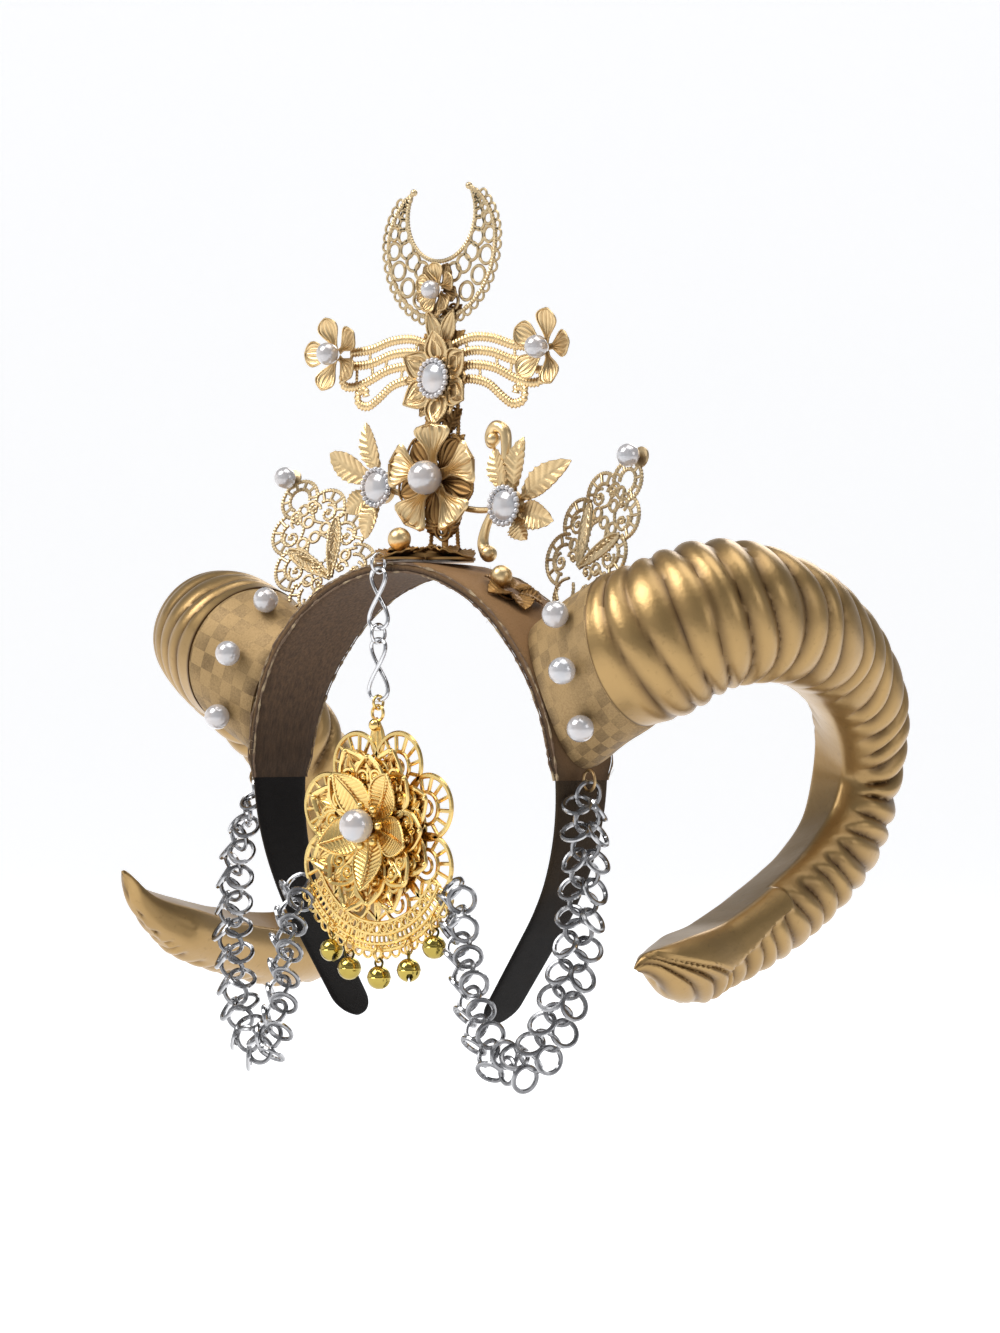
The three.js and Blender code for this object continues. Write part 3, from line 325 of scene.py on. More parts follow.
def grid_faces(rows, cols, wrap_rows=False, wrap_cols=False):
    """Faces of a grid of points, joined across its ends where it wraps round."""
    r = np.arange(rows if wrap_rows else rows - 1)[:, None]
    c = np.arange(cols if wrap_cols else cols - 1)[None, :]
    r1, c1 = (r + 1) % rows, (c + 1) % cols
    corners = np.broadcast_arrays(r * cols + c, r * cols + c1, r1 * cols + c1, r1 * cols + c)
    return np.stack(corners, -1).reshape(-1, 4)


def outward(shell):
    """The shell with its faces turned so that the volume they enclose is positive."""
    points, faces, tone = shell
    a, b, c, d = (points[faces[:, i]] for i in range(4))
    volume = np.einsum("ij,ij->", a, np.cross(b, c)) + np.einsum("ij,ij->", a, np.cross(c, d))
    if volume < 0:
        triangle = (faces[:, 2] == faces[:, 3])[:, None]
        faces = np.where(triangle, faces[:, [0, 2, 1, 1]], faces[:, [0, 3, 2, 1]])
    return Shell(points, faces, tone)


def join(*shells):
    """Several shells as one."""
    starts = np.cumsum([0] + [len(s.points) for s in shells[:-1]])
    return Shell(
        np.concatenate([s.points for s in shells]),
        np.concatenate([s.faces + start for s, start in zip(shells, starts)]),
        np.concatenate([s.tone for s in shells]),
    )


def loft(sections, tone=0.0, wrap=False, ends=None):
    """A surface through closed sections (rows x points x 3); fans to middle points close open ends."""
    rows, cols = sections.shape[:2]
    points = sections.reshape(-1, 3)
    faces = grid_faces(rows, cols, wrap, True)
    tones = np.broadcast_to(tone, (rows, cols)).reshape(-1)
    if not wrap:
        first, last = len(points), len(points) + 1
        if ends is None:
            ends = np.stack([sections[0].mean(0), sections[-1].mean(0)])
        here = np.arange(cols)
        after = (here + 1) % cols
        end = (rows - 1) * cols
        caps = [np.stack([np.full(cols, first), after, here, here], -1)]
        caps.append(np.stack([np.full(cols, last), end + here, end + after, end + after], -1))
        points = np.concatenate([points, ends])
        faces = np.concatenate([faces, *caps])
        tones = np.concatenate([tones, tones[[0, -1]]])
    return outward(Shell(points, faces, tones))


def slab(top, thick, tone):
    """A sheet with thickness: the bottom lies below the top grid along its normals; a rim joins both. The
    bottom gets painted shade.
    """
    rows, cols = top.shape[:2]
    normal = unit(np.cross(np.gradient(top, axis=0), np.gradient(top, axis=1)))
    normal *= np.sign(normal[..., 2].sum() or 1.0)
    count = rows * cols
    points = np.concatenate([top.reshape(-1, 3), (top - thick * normal).reshape(-1, 3)])
    upper = grid_faces(rows, cols)
    ids = np.arange(count).reshape(rows, cols)
    loop = np.concatenate([ids[0, :-1], ids[:-1, -1], ids[-1, :0:-1], ids[:0:-1, 0]])
    after = np.roll(loop, -1)
    rim = np.stack([after, loop, loop + count, after + count], -1)
    faces = np.concatenate([upper, upper[:, ::-1] + count, rim])
    # Painted shade on the bottom points.
    tones = np.concatenate([np.broadcast_to(tone, (rows, cols)).reshape(-1), np.full(count, UNDERSIDE_SHADE)])
    return outward(Shell(points, faces, tones))


def tube(path, radius, normal=(0, 0, 1), wrap=False, sides=8, oval=1.0, tone=0.0):
    """A bar along a path: a round section across it, oval times as high as wide, painted shade on its lower
    side.
    """
    step = np.roll(path, -1, 0) - np.roll(path, 1, 0) if wrap else np.gradient(path, axis=0)
    along = unit(step)
    side = unit(np.cross(np.broadcast_to(normal, along.shape), along))
    up = np.cross(along, side)
    angle = angles(sides)[:, None]
    reach = np.broadcast_to(radius, len(path))[:, None, None]
    sections = path[:, None] + reach * (np.cos(angle) * side[:, None] + oval * np.sin(angle) * up[:, None])
    # Painted shade: darker on the side turned away from the normal.
    shade = np.clip(0.45 - 0.55 * np.sin(angle[:, 0])[None] + np.reshape(tone, (-1, 1)), 0, 1)
    return loft(sections, shade, wrap)


def rope(path, radius, pitch=1.15, swell=0.15, **options):
    """Milled wire: a tube that swells once in every pitch along an evenly spaced path."""
    # Painted light and shade: the swells are lighter, the waists between them darker.
    wave = np.cos(TURN * run_of(path) / pitch)
    return tube(path, radius * (1 + swell * wave), tone=-0.2 * wave, **options)


def wires(paths, radius, height=0.0, milled=False, **options):
    """Bars along several paths of the drawing plane, joined."""
    draw = rope if milled else tube
    return join(*(draw(flat(path, height), radius, **options) for path in paths))


def repeated(shell, axes, origins):
    """Copies of a shell, each turned by its own axes and moved to its own origin."""
    count, size = len(origins), len(shell.points)
    points = (shell.points[None] @ axes + origins[:, None]).reshape(-1, 3)
    faces = (shell.faces[None] + (np.arange(count) * size)[:, None, None]).reshape(-1, 4)
    return outward(Shell(points, faces, np.tile(shell.tone, count)))


def around(shell, count, start=0.0):
    """Copies of a shell round the height axis, the first one turned clockwise by start degrees."""
    turn = np.radians(start) + angles(count)
    zero = np.zeros(count)
    rows = (
        np.stack([np.cos(turn), -np.sin(turn), zero], -1),
        np.stack([np.sin(turn), np.cos(turn), zero], -1),
        np.stack([zero, zero, zero + 1], -1),
    )
    return repeated(shell, np.stack(rows, 1), np.zeros((count, 3)))


def rings(centers, radius, wire, height=0.0, count=24):
    """Wire rings that lie in the drawing plane."""
    one = tube(flat(ring_path((0, 0), radius, count)), wire, wrap=True, sides=6)
    places = flat(np.atleast_2d(centers), height)
    return repeated(one, np.broadcast_to(np.eye(3), (len(places), 3, 3)), places)


def sphere_grid(rows, cols):
    """Unit vectors on rings of latitude from the lowest to the highest, without the poles."""
    latitude = np.linspace(-np.pi / 2, np.pi / 2, rows + 1)[1:-1, None]
    flat_part = np.cos(latitude)[..., None] * rays(angles(cols))
    return np.concatenate([flat_part, np.broadcast_to(np.sin(latitude)[..., None], (rows - 1, cols, 1))], -1)


def balls(centers, radii, grid=(14, 20), tone=0.1):
    """Spheres at several places."""
    one = loft(sphere_grid(*grid), tone, ends=((0, 0, -1), (0, 0, 1)))
    centers = np.atleast_2d(np.asarray(centers, float))
    scale = np.broadcast_to(radii, len(centers))[:, None, None]
    return repeated(one, np.eye(3)[None] * scale, centers)


def plate(outline, height, thick, swell=0.0, tone=0.3):
    """A plate over a closed outline round the origin: rings shrink to the middle and swell up in a dome."""
    share = np.linspace(1, 0.04, 12)[:, None]
    rim = outline[None] * share[..., None]
    rise = height + swell * (1 - share**2) + 0 * outline[None, :, 0]
    top = np.concatenate([rim, rise[..., None]], -1)
    return loft(np.concatenate([top[::-1], top - np.array((0, 0, thick))]), tone)


def shifted(shell, x=0.0, y=0.0, height=0.0):
    """A shell moved in its own drawing axes."""
    return Shell(shell.points + np.array((x, y, height)), shell.faces, shell.tone)


def stretched(shell, x, y, height=1.0):
    """A shell stretched along its own drawing axes."""
    return Shell(shell.points * np.array((x, y, height)), shell.faces, shell.tone)


def cupped(shell, amount):
    """A shell whose height grows with the square of its distance from the centre."""
    reach = np.linalg.norm(shell.points[:, :2], axis=1)
    return Shell(shell.points + np.outer(amount * reach**2, UP), shell.faces, shell.tone)


def shaded(shell, extra):
    """A shell with its tone raised all over."""
    return Shell(shell.points, shell.faces, np.clip(shell.tone + extra, 0, 1))


# Places


def put(shell, place):
    """A shell drawn in a place's own axes, moved to that place."""
    return outward(Shell(shell.points @ place.axes + place.origin, shell.faces, shell.tone))


def front_place(x, y, z, turn=0.0, yaw=0.0):
    """Facing the front: x to the right, y up, height towards -Y, turned clockwise, then yawed to +X."""
    cosine, sine = np.cos(turn), np.sin(turn)
    axes = np.array(((cosine, 0, -sine), (sine, 0, cosine), (0, -1, 0)))
    return Place(np.array((x, y, z), float), turned(axes, UP, yaw))


def band_place(angle, reach):
    """Lying on the band's arch at an angle from the top: x along the band, y to the back, height outwards."""
    out = np.array((np.sin(angle), 0, np.cos(angle)))
    axes = np.stack([(np.cos(angle), 0, -np.sin(angle)), BACK, out])
    return Place(np.array((0, 0, ARCH_Z)) + reach * out, axes)


def panel_place(sign):
    """A side panel's: its foot, the axis to its tip and the way it faces."""
    flip = np.array((sign, 1, 1))
    foot, face = PANEL_FOOT * flip, PANEL_FACE * flip
    along = unit(PANEL_TIP * flip - foot)
    face = unit(face - along * (face @ along))
    return Place(foot, np.stack([np.cross(along, face), along, face]))


def node_box(name):
    """Lowest and highest corner of a construction node, in mm."""
    low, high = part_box(name)
    return np.array(low) / MM, np.array(high) / MM


def node_middle(name):
    """Middle of a construction node's box, in mm."""
    low, high = node_box(name)
    return (low + high) / 2


# Petals and leaves in the drawing plane: x across, y outwards from the centre, height towards the viewer


def petal_widths(t, form):
    """Half width along a petal as a share: a sine arch, widest at its peak, and a root that narrows."""
    share = np.sin(np.pi * t ** (np.log(0.5) / np.log(form.peak))).clip(1e-4) ** form.fullness
    return np.maximum(share, form.root * (1 - t)).clip(0.03)


def petal(start, length, width, form, flutes=0, flute=0.2, bars=0, bar=0.12, slant=0.4, wave=0.0, thick=0.5):
    """A petal: y runs along it and x across.

    Its height is a parabola along and across, plus flutes along it, slanted bars across it and a wavy tip.
    """
    t = np.linspace(0, 1, max(15, 4 * bars + 3))[:, None]
    s = np.linspace(-1, 1, 9 + 4 * flutes + 2 * int(3 * bars * slant * width / length))[None]
    half = width / 2 * petal_widths(t, form)
    envelope = np.sin(np.pi * t.clip(0.02, 0.98)) ** 0.5
    groove = np.cos(flutes * np.pi * s) if flutes else 0 * s
    hatch = np.cos(TURN * bars * (t + slant * np.abs(s) * width / length)) if bars else 0 * s
    ripple = np.cos(5 * np.pi * s)
    height = form.rise * t**2 + form.cup * half * s**2 + envelope * (flute * groove + bar * hatch)
    height = height + wave * t**3 * ripple
    reach = start + length * t * (1 - 0.05 * wave * ripple * t**3)
    top = np.stack(np.broadcast_arrays(half * s, reach, height), -1)
    depth = 0.5 - 0.5 * (groove if flutes else hatch)
    # Painted shade in the low parts of the flutes and bars, and towards the root.
    tone = np.clip(0.5 * depth * envelope + 0.55 * (1 - t) ** 4 + 0 * s, 0, 1)
    return slab(top, thick, tone)


def petal_rim(start, length, width, radius, form, lift=0.1):
    """A wire round a petal of the same sizes."""
    t = np.linspace(0.02, 1, 30)
    half = width / 2 * petal_widths(t, form)
    height = form.rise * t**2 + form.cup * half + lift
    right = np.column_stack([half, start + length * t, height])
    left = right[::-1] * np.array((-1, 1, 1))
    return rope(spline(np.concatenate([right, left[1:]]), step=0.36), radius, sides=6)


def leaf(root, tip, width, veins, arch_height):
    """A serrated leaf between two points: folded along a midrib, with slanted side veins, arched along."""
    root, tip = np.asarray(root, float), np.asarray(tip, float)
    length = np.linalg.norm(tip - root)
    along = (tip - root) / length
    across = np.array((along[1], -along[0]))
    t = np.linspace(0, 1, 4 * veins + 3)[:, None]
    s = np.linspace(-1, 1, 13)[None]
    phase = veins * t - 1.1 * np.abs(s)
    tooth = 1 + 0.16 * (phase % 1.0) * np.abs(s) ** 3
    half = width / 2 * petal_widths(t, Form(0.5, 0.75, 0.12)) * tooth
    vein = np.cos(TURN * phase)
    inside = np.abs(s) ** 0.5 * (1 - t**6)
    fold = 0.28 * half * np.abs(s)
    midrib = 0.42 * np.exp(-((s * half / 0.45) ** 2)) * (1 - t)
    height = arch_height * np.sin(np.pi * t) * 0.9 + fold + 0.38 * vein * inside + midrib
    place = root + along * (length * t)[..., None] + across * (half * s)[..., None]
    # Painted shade in the grooves of the veins and towards the root.
    tone = np.clip(0.6 * (0.5 - 0.5 * vein) * inside + 0.35 * (1 - t) ** 3, 0, 1)
    return slab(np.concatenate([place, height[..., None]], -1), 0.5, tone)


# Materials


class Value:
    """A number socket of a finish. Arithmetic on it adds Math nodes."""

    def __init__(self, finish, socket):
        self.finish = finish
        self.socket = socket

    def math(self, operation, a, b, clamp=False):
        """A Math node of two numbers or sockets."""
        return self.finish.node("ShaderNodeMath", {0: a, 1: b}, operation=operation, use_clamp=clamp)

    def __add__(self, other):
        return self.math("ADD", self, other)

    def __radd__(self, other):
        return self.math("ADD", other, self)

    def __sub__(self, other):
        return self.math("SUBTRACT", self, other)

    def __rsub__(self, other):
        return self.math("SUBTRACT", other, self)

    def __mul__(self, other):
        return self.math("MULTIPLY", self, other)

    def __rmul__(self, other):
        return self.math("MULTIPLY", other, self)

    def __pow__(self, other):
        return self.math("POWER", self, other)

    def __rpow__(self, other):
        return self.math("POWER", other, self)

    def clamped(self):
        """The number held between 0 and 1."""
        return self.math("ADD", self, 0.0, clamp=True)


class Finish:
    """A material: a Principled surface, and one method that adds any other node."""

    def __init__(self, name, **fixed):
        self.material = bpy.data.materials.new(f"finish_{name}")
        self.material.use_nodes = True
        self.tree = self.material.node_tree
        self.surface = self.tree.nodes["Principled BSDF"]
        self.set(**fixed)

    def link(self, socket, value):
        """Links an input to an output, or gives it a fixed value."""
        if isinstance(value, Value):
            self.tree.links.new(value.socket, socket)
        else:
            socket.default_value = value

    def node(self, kind, inputs=None, out=0, **options):
        """Adds a node with its options and the values or links of its sockets. Returns one of its outputs."""
        made = self.tree.nodes.new(kind)
        for key, value in options.items():
            setattr(made, key, value)
        for key, value in (inputs or {}).items():
            self.link(made.inputs[key], value)
        return Value(self, made.outputs[out])

    def set(self, **values):
        """Gives the surface fixed values, and links to what changes over it. Returns the material."""
        for key, value in values.items():
            self.link(self.surface.inputs[key.replace("_", " ").title().replace("Ior", "IOR")], value)
        return self.material

    def attribute(self, name):
        """A number that the mesh has at each of its points."""
        return self.node("ShaderNodeAttribute", out=2, attribute_name=name)

    def place(self):
        """Where a point lies, in the object's metres."""
        return self.node("ShaderNodeTexCoord", out=3)

    def along(self, direction):
        """Distance of a place from the middle in one direction."""
        inputs = {0: self.place(), 1: direction}
        return self.node("ShaderNodeVectorMath", inputs, out=1, operation="DOT_PRODUCT")

    def noise(self, scale, detail=3.0, roughness=0.55, vector=None):
        """A cloudy random pattern over the place, or over another vector."""
        inputs = {"Scale": scale, "Detail": detail, "Roughness": roughness, "Vector": vector or self.place()}
        return self.node("ShaderNodeTexNoise", inputs)

    def spread(self, value, low, high):
        """A value stretched so that low becomes 0 and high becomes 1."""
        return self.node("ShaderNodeMapRange", {"Value": value, "From Min": low, "From Max": high})

    def mix(self, factor, a, b):
        """One colour turned into another. A colour is a setting's name, a fixed value or an output."""
        return self.node("ShaderNodeMix", {0: factor, 6: color(a), 7: color(b)}, out=2, data_type="RGBA")

    def bump(self, height, distance, strength=1.0):
        """Surface normals bent by a height pattern."""
        return self.node("ShaderNodeBump", {"Height": height, "Distance": distance, "Strength": strength})


def settings():
    """The add-on's settings on the scene."""
    return bpy.context.scene.horn_headband


def color(value):
    """The colour setting of that name with full alpha; anything else stays as it is."""
    return (*getattr(settings().colors, value), 1.0) if isinstance(value, str) else value


def gold(name, light, dark, roughness, depth):
    """Gilt metal: painted shade where the tone is high, in hollows, underneath and on layers behind; cloudy
    lacquer, fine pits, duller where it is dark.
    """
    finish = Finish(name, metallic=1.0)
    cloud = finish.noise(140.0)
    # Painted shade from the tone, with the lacquer's cloud.
    shade_and_lacquer_cloud = (finish.attribute("tone") * depth + (cloud - 0.5) * 0.5).clamped()
    pits = finish.noise(900.0, 2.0)
    rough = (roughness + shade_and_lacquer_cloud * 0.22 + (pits - 0.5) * 0.16).clamped()
    paint = finish.mix(shade_and_lacquer_cloud, light, dark)
    return finish.set(base_color=paint, roughness=rough, normal=finish.bump(pits, 0.00006))


def horn_paint():
    """Satin gold paint over ribs: painted shade in the grooves, on the inner face and at the seam, brush
    cloud, dark specks, tiny orange-peel bumps and dull patches.
    """
    finish = Finish("horn_paint", metallic=0.9, coat_weight=0.25, coat_roughness=0.28)
    cloud = finish.noise(38.0, 4.0)
    speck = finish.spread(finish.noise(420.0, 2.0), 0.62, 0.74)
    # Painted shade from the tone, with the brush cloud.
    groove = (finish.attribute("tone") ** 1.5 * 0.9 + (cloud - 0.5) * 0.45).clamped()
    paint = finish.mix(speck * 0.18, finish.mix(groove, "horn_light", "horn_shade_and_specks"), "horn_shade_and_specks")
    rough = (0.37 + groove * 0.18 + (finish.noise(90.0) - 0.5) * 0.16).clamped()
    skin = finish.noise(620.0, 2.0) * 0.6 + finish.noise(75.0, 3.0) * 1.6
    return finish.set(base_color=paint, roughness=rough, normal=finish.bump(skin, 0.00025, 0.55))


def cuff_cloth():
    """Bronze cloth: worn woven checks on the piece's own map, a fine grain, darker at its ends and towards
    the bottom, and painted shade on the inner wall.
    """
    finish = Finish("cuff_cloth", metallic=0.45)
    weave = finish.node("ShaderNodeUVMap", uv_map="weave")
    check = finish.node("ShaderNodeTexChecker", {"Vector": weave, "Scale": 1.0}, out=1)
    worn = check * finish.spread(finish.noise(42.0, 3.0), 0.36, 0.68)
    grain = finish.noise(1500.0, 2.0, 0.7)
    # The checks, the grain and the tone: darker at the ends and towards the bottom, painted shade on the
    # inner wall.
    shade = (worn * 0.62 + (grain - 0.5) * 0.75 + finish.attribute("tone") * 0.55).clamped()
    cloth = finish.mix(shade, "cuff_light", "cuff_dark")
    rough = (0.5 + grain * 0.25 - worn * 0.08).clamped()
    relief = finish.bump(grain * 0.7 + worn * 0.5, 0.00022, 0.8)
    return finish.set(base_color=cloth, roughness=rough, normal=relief)


def band_cloth():
    """Cloth of the band: bronze outside, blacker towards the ends, dark suede with long streaks inside,
    painted shade along the edges.
    """
    finish = Finish("band_cloth", metallic=0.12, specular_ior_level=0.25)
    low = finish.attribute("drop")
    cloud = finish.noise(60.0, 4.0)
    stretch = finish.node("ShaderNodeMapping", {"Vector": finish.place(), "Scale": (900.0, 900.0, 90.0)})
    streak = finish.noise(1.0, 4.0, 0.65, stretch)
    nap = finish.noise(1600.0, 2.0)
    bronze = finish.mix((low + (cloud - 0.5) * 0.5).clamped(), "band_bronze", "band_black")
    suede = finish.mix(finish.spread(streak, 0.35, 0.95), "band_suede", "band_black")
    suede = finish.mix((low * 0.7).clamped(), suede, "band_black")
    clean = finish.mix(finish.attribute("outside"), suede, bronze)
    # Painted shade along the edges from the tone, with the nap's speckle.
    edge_shade_and_nap = (finish.attribute("tone") * 0.7 + (nap - 0.5) * 0.4).clamped()
    cloth = finish.mix(edge_shade_and_nap, clean, "band_black")
    relief = finish.bump(nap + streak * 0.6, 0.0002, 0.7)
    return finish.set(base_color=cloth, roughness=(0.62 + nap * 0.3).clamped(), normal=relief)


def velvet():
    """Black velvet ends: short pile, rubbed brown outside near the cover."""
    finish = Finish("velvet", sheen_weight=0.06, sheen_roughness=0.5, specular_ior_level=0.15)
    outside = finish.attribute("outside")
    low = finish.attribute("drop")
    cloud = finish.noise(70.0, 4.0)
    pile = finish.noise(2200.0, 2.0)
    rubbed = (outside * (1.1 - low * 1.2) + (cloud - 0.5) * 0.6 * outside).clamped()
    cloth = finish.mix(pile * 0.5, finish.mix(rubbed, "band_black", "band_rubbed"), "band_black")
    rough = (0.75 + pile * 0.25).clamped()
    return finish.set(base_color=cloth, roughness=rough, normal=finish.bump(pile, 0.0003))


def edge_thread():
    """Frayed thread along the band's edges: pale gold and dark brown in turns."""
    finish = Finish("edge_thread")
    patch = finish.spread(finish.noise(260.0, 3.0), 0.46, 0.62)
    thread = finish.mix(patch, "band_suede", "band_thread")
    return finish.set(base_color=thread, roughness=(0.7 + patch * 0.2).clamped())


def steel_wire():
    """Bright steel wire: drawn lines, painted shade on one side of the wire."""
    finish = Finish("steel_wire", metallic=1.0)
    cloud = finish.noise(320.0, 3.0)
    # Painted shade from the tone, with a cloud.
    dull = (finish.attribute("tone") * 0.85 + (cloud - 0.5) * 0.5).clamped()
    metal = finish.mix(dull, "steel_light", "steel_shade")
    rough = (0.12 + dull * 0.18).clamped()
    return finish.set(base_color=metal, roughness=rough, normal=finish.bump(cloud, 0.00005))


def pearl():
    """Pearl lacquer: warm white with faint rose and blue clouds under a clear coat."""
    finish = Finish("pearl", metallic=0.3, coat_weight=1.0, coat_roughness=0.06, specular_ior_level=0.7)
    cloud = finish.spread(finish.noise(120.0, 2.0), 0.35, 0.65)
    lacquer = finish.mix(0.55, "pearl_white", finish.mix(cloud, "pearl_rose", "pearl_blue"))
    rough = (0.2 + (finish.noise(700.0) - 0.5) * 0.1).clamped()
    return finish.set(base_color=lacquer, roughness=rough)


def floor_paper():
    """Pale studio paper with a faint mottle that glows as painted light, with a dim glow towards the viewer
    and far right.
    """
    finish = Finish("floor_paper", emission_strength=0.68)
    mottle = finish.noise(3.0, 2.0)
    paper = finish.mix(mottle, "paper", "paper_cool")
    # Painted light: the glow is full behind the part and dim towards the viewer and far right, so metal
    # reflects a dark side.
    near = finish.spread(finish.along((0.68, -0.73, 0)), 0.25, 1.4)
    right = finish.spread(finish.along((0.73, 0.68, 0)), 1.0, 2.8)
    glow = finish.mix((near + right).clamped(), (1, 1, 1, 1), (0.2, 0.2, 0.21, 1))
    return finish.set(base_color=paper, roughness=(0.85 + mottle * 0.1).clamped(), emission_color=glow)


# Gold finishes: light colour, colour of the painted shade, roughness and strength of the painted shade.
GOLDS = {
    "pale_gold": ("pale_gold", "pale_gold_shade", 0.34, 0.85),
    "champagne": ("champagne", "champagne_shade", 0.34, 0.85),
    "antique_gold": ("antique_gold", "antique_shade", 0.4, 0.85),
    "bright_gold": ("bright_gold", "bright_gold_shade", 0.2, 0.85),
    "bell_brass": ("brass", "brass_shade", 0.13, 1.0),
}
OTHER_FINISHES = {
    "horn_paint": horn_paint,
    "cuff_cloth": cuff_cloth,
    "band_cloth": band_cloth,
    "velvet": velvet,
    "edge_thread": edge_thread,
    "steel_wire": steel_wire,
    "pearl": pearl,
    "floor_paper": floor_paper,
}


def finish_of(name):
    """The material of that name, made once."""
    made = bpy.data.materials.get(f"finish_{name}")
    if made:
        return made
    return gold(name, *GOLDS[name]) if name in GOLDS else OTHER_FINISHES[name]()


# Meshes


def add_mesh(name, shell, finish, attributes=None):
    """A mesh object in metres from a shell, with its finish, its tone and further point attributes."""
    keep = np.ones(shell.faces.shape, bool)
    keep[shell.faces[:, 2] == shell.faces[:, 3], 3] = False
    totals = keep.sum(1)
    starts = np.concatenate([[0], np.cumsum(totals)[:-1]])
    corners = shell.faces[keep]
    mesh = bpy.data.meshes.new(name)
    mesh.vertices.add(len(shell.points))
    mesh.vertices.foreach_set("co", (shell.points * MM).astype(np.float32).ravel())
    mesh.loops.add(len(corners))
    mesh.loops.foreach_set("vertex_index", corners.astype(np.int32))
    mesh.polygons.add(len(totals))
    mesh.polygons.foreach_set("loop_start", starts.astype(np.int32))
    mesh.polygons.foreach_set("loop_total", totals.astype(np.int32))
    mesh.update(calc_edges=True)
    if mesh.validate():
        raise RuntimeError(f"{name}: the surface has faulty faces")
    mesh.polygons.foreach_set("use_smooth", np.ones(len(totals), bool))
    mesh.set_sharp_from_angle(angle=SHARP_ANGLE)
    for key, values in {"tone": shell.tone, **(attributes or {})}.items():
        mesh.attributes.new(key, "FLOAT", "POINT").data.foreach_set("value", np.asarray(values, np.float32))
    mesh.materials.append(finish_of(finish))
    made = bpy.data.objects.new(name, mesh)
    bpy.context.scene.collection.objects.link(made)
    return made


def add_piece(name, shell, finish, *nodes, slot=None, attributes=None):
    """A finished piece that rides on the body and stands for construction nodes."""
    made = add_mesh(name, shell, finish, attributes)
    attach(made, "root")
    if nodes:
        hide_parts(*nodes)
    return made


# Band


def arch(length):
    """Points of the strip's middle line and outward normals at lengths from the top, right side positive."""
    run = np.abs(length)
    crest = np.minimum(run, QUARTER) / ARCH_RADIUS
    bend = np.clip((run - QUARTER) / SIDE_RADIUS, 0, SIDE_SWEEP)
    straight = np.maximum(run - QUARTER - SIDE_RADIUS * SIDE_SWEEP, 0)
    turn = crest + bend
    x = ARCH_RADIUS * np.sin(crest) - SIDE_RADIUS * (1 - np.cos(bend)) + straight * np.cos(turn)
    z = ARCH_Z + ARCH_RADIUS * np.cos(crest) - SIDE_RADIUS * np.sin(bend) - straight * np.sin(turn)
    side = np.where(length < 0, -1.0, 1.0)
    zero = np.zeros_like(run)
    return np.stack([side * x, zero, z], -1), np.stack([side * np.sin(turn), zero, np.cos(turn)], -1)


def strip_half(length):
    """Half width of the strip, rounded off at its ends."""
    run = np.abs(length)
    half = np.interp(run, STRIP_WIDTHS["at"], STRIP_WIDTHS["width"]) / 2
    inset = np.maximum(half - np.maximum(HALF_LENGTH - run, 0.05), 0)
    return np.sqrt(half**2 - inset**2)


def end_share(lengths):
    """Rises from 0 at both ends of a stretch of the strip to 1 over the part where it thins out."""
    return smoothstep(0, THIN_END, np.abs(lengths).max() - np.abs(lengths))


def strip_shell(lengths, extra, lift):
    """The strip along lengths: a flat section with round edges, extra wider, lift thick to either side."""
    middle, out = arch(lengths)
    angle = angles(40)
    across = np.sign(np.cos(angle)) * np.abs(np.cos(angle)) ** 0.3
    up = np.sign(np.sin(angle)) * np.abs(np.sin(angle)) ** 0.6
    soft = end_share(lengths)
    half = (strip_half(lengths) + extra * soft)[:, None, None]
    lift = (lift * (0.55 + 0.45 * soft))[:, None, None]
    sections = middle[:, None] + half * across[None, :, None] * BACK
    sections = sections + lift * up[None, :, None] * out[:, None]
    # Painted shade on the rounded edges, where a gap lies between cover and lining.
    edge = np.abs(across)[None] ** 14 * np.ones((len(lengths), 1))
    outside = np.append(np.tile(smoothstep(-0.2, 0.2, up), len(lengths)), (0.5, 0.5))
    return loft(sections, edge * 0.6), outside


def edge_line(lengths, edge, layer, rng):
    """A frayed thread along one edge (front or back) and layer (outer or inner) of the cover."""
    middle, out = arch(lengths)
    wander = np.interp(lengths, lengths[::9], rng.normal(0, 0.12, len(lengths[::9])))
    soft = end_share(lengths)
    half = strip_half(lengths) + 1.25 - 1.2 * (1 - soft)
    lift = layer * 1.35 * (0.5 + 0.5 * soft) + wander
    path = middle + np.outer(edge * (half + wander), BACK) + out * lift[:, None]
    fray = np.interp(lengths, lengths[::3], rng.normal(0, 1, len(lengths[::3]))).clip(-1, 1.6)
    return tube(path, 0.36 + 0.14 * fray, normal=(0.3, 1, 0.1), sides=5)


def fibers(count, rng):
    """Loose fibres that stick out of the band's edges at random."""
    lengths = rng.uniform(-QUARTER, QUARTER, count)
    middle, out = arch(lengths)
    edge = rng.choice((-1, 1), count)
    rim = middle + np.outer(edge * (strip_half(lengths) + 1.2), BACK)
    origin = rim + out * rng.uniform(-2, 2, (count, 1))
    along = unit(rng.normal(0, 1, (count, 3)) + np.outer(edge * 0.8, BACK))
    side = unit(np.cross(along, (0.2, 0.3, 0.9)))
    size = rng.uniform(*FIBER_LENGTHS, (count, 1))
    share = np.linspace(0, 1, 6)
    path = np.column_stack([np.zeros(6), 0.1 * share**2, share])
    one = tube(path, np.linspace(0.075, 0.03, 6), normal=(1, 0, 0), sides=5)
    return repeated(one, np.stack([side, np.cross(along, side), along * size], 1), origin)


# Cuffs


def seam_ring(turn, radius):
    """Points round the seam between cuff and horn, right side; turn runs from the top towards the back."""
    up = unit(UP - SEAM_AXIS * SEAM_AXIS[2])
    back = np.cross(up, SEAM_AXIS)
    ring = np.cos(turn)[..., None] * up + np.sin(turn)[..., None] * back
    return SEAM_CENTER + np.asarray(radius)[..., None] * ring


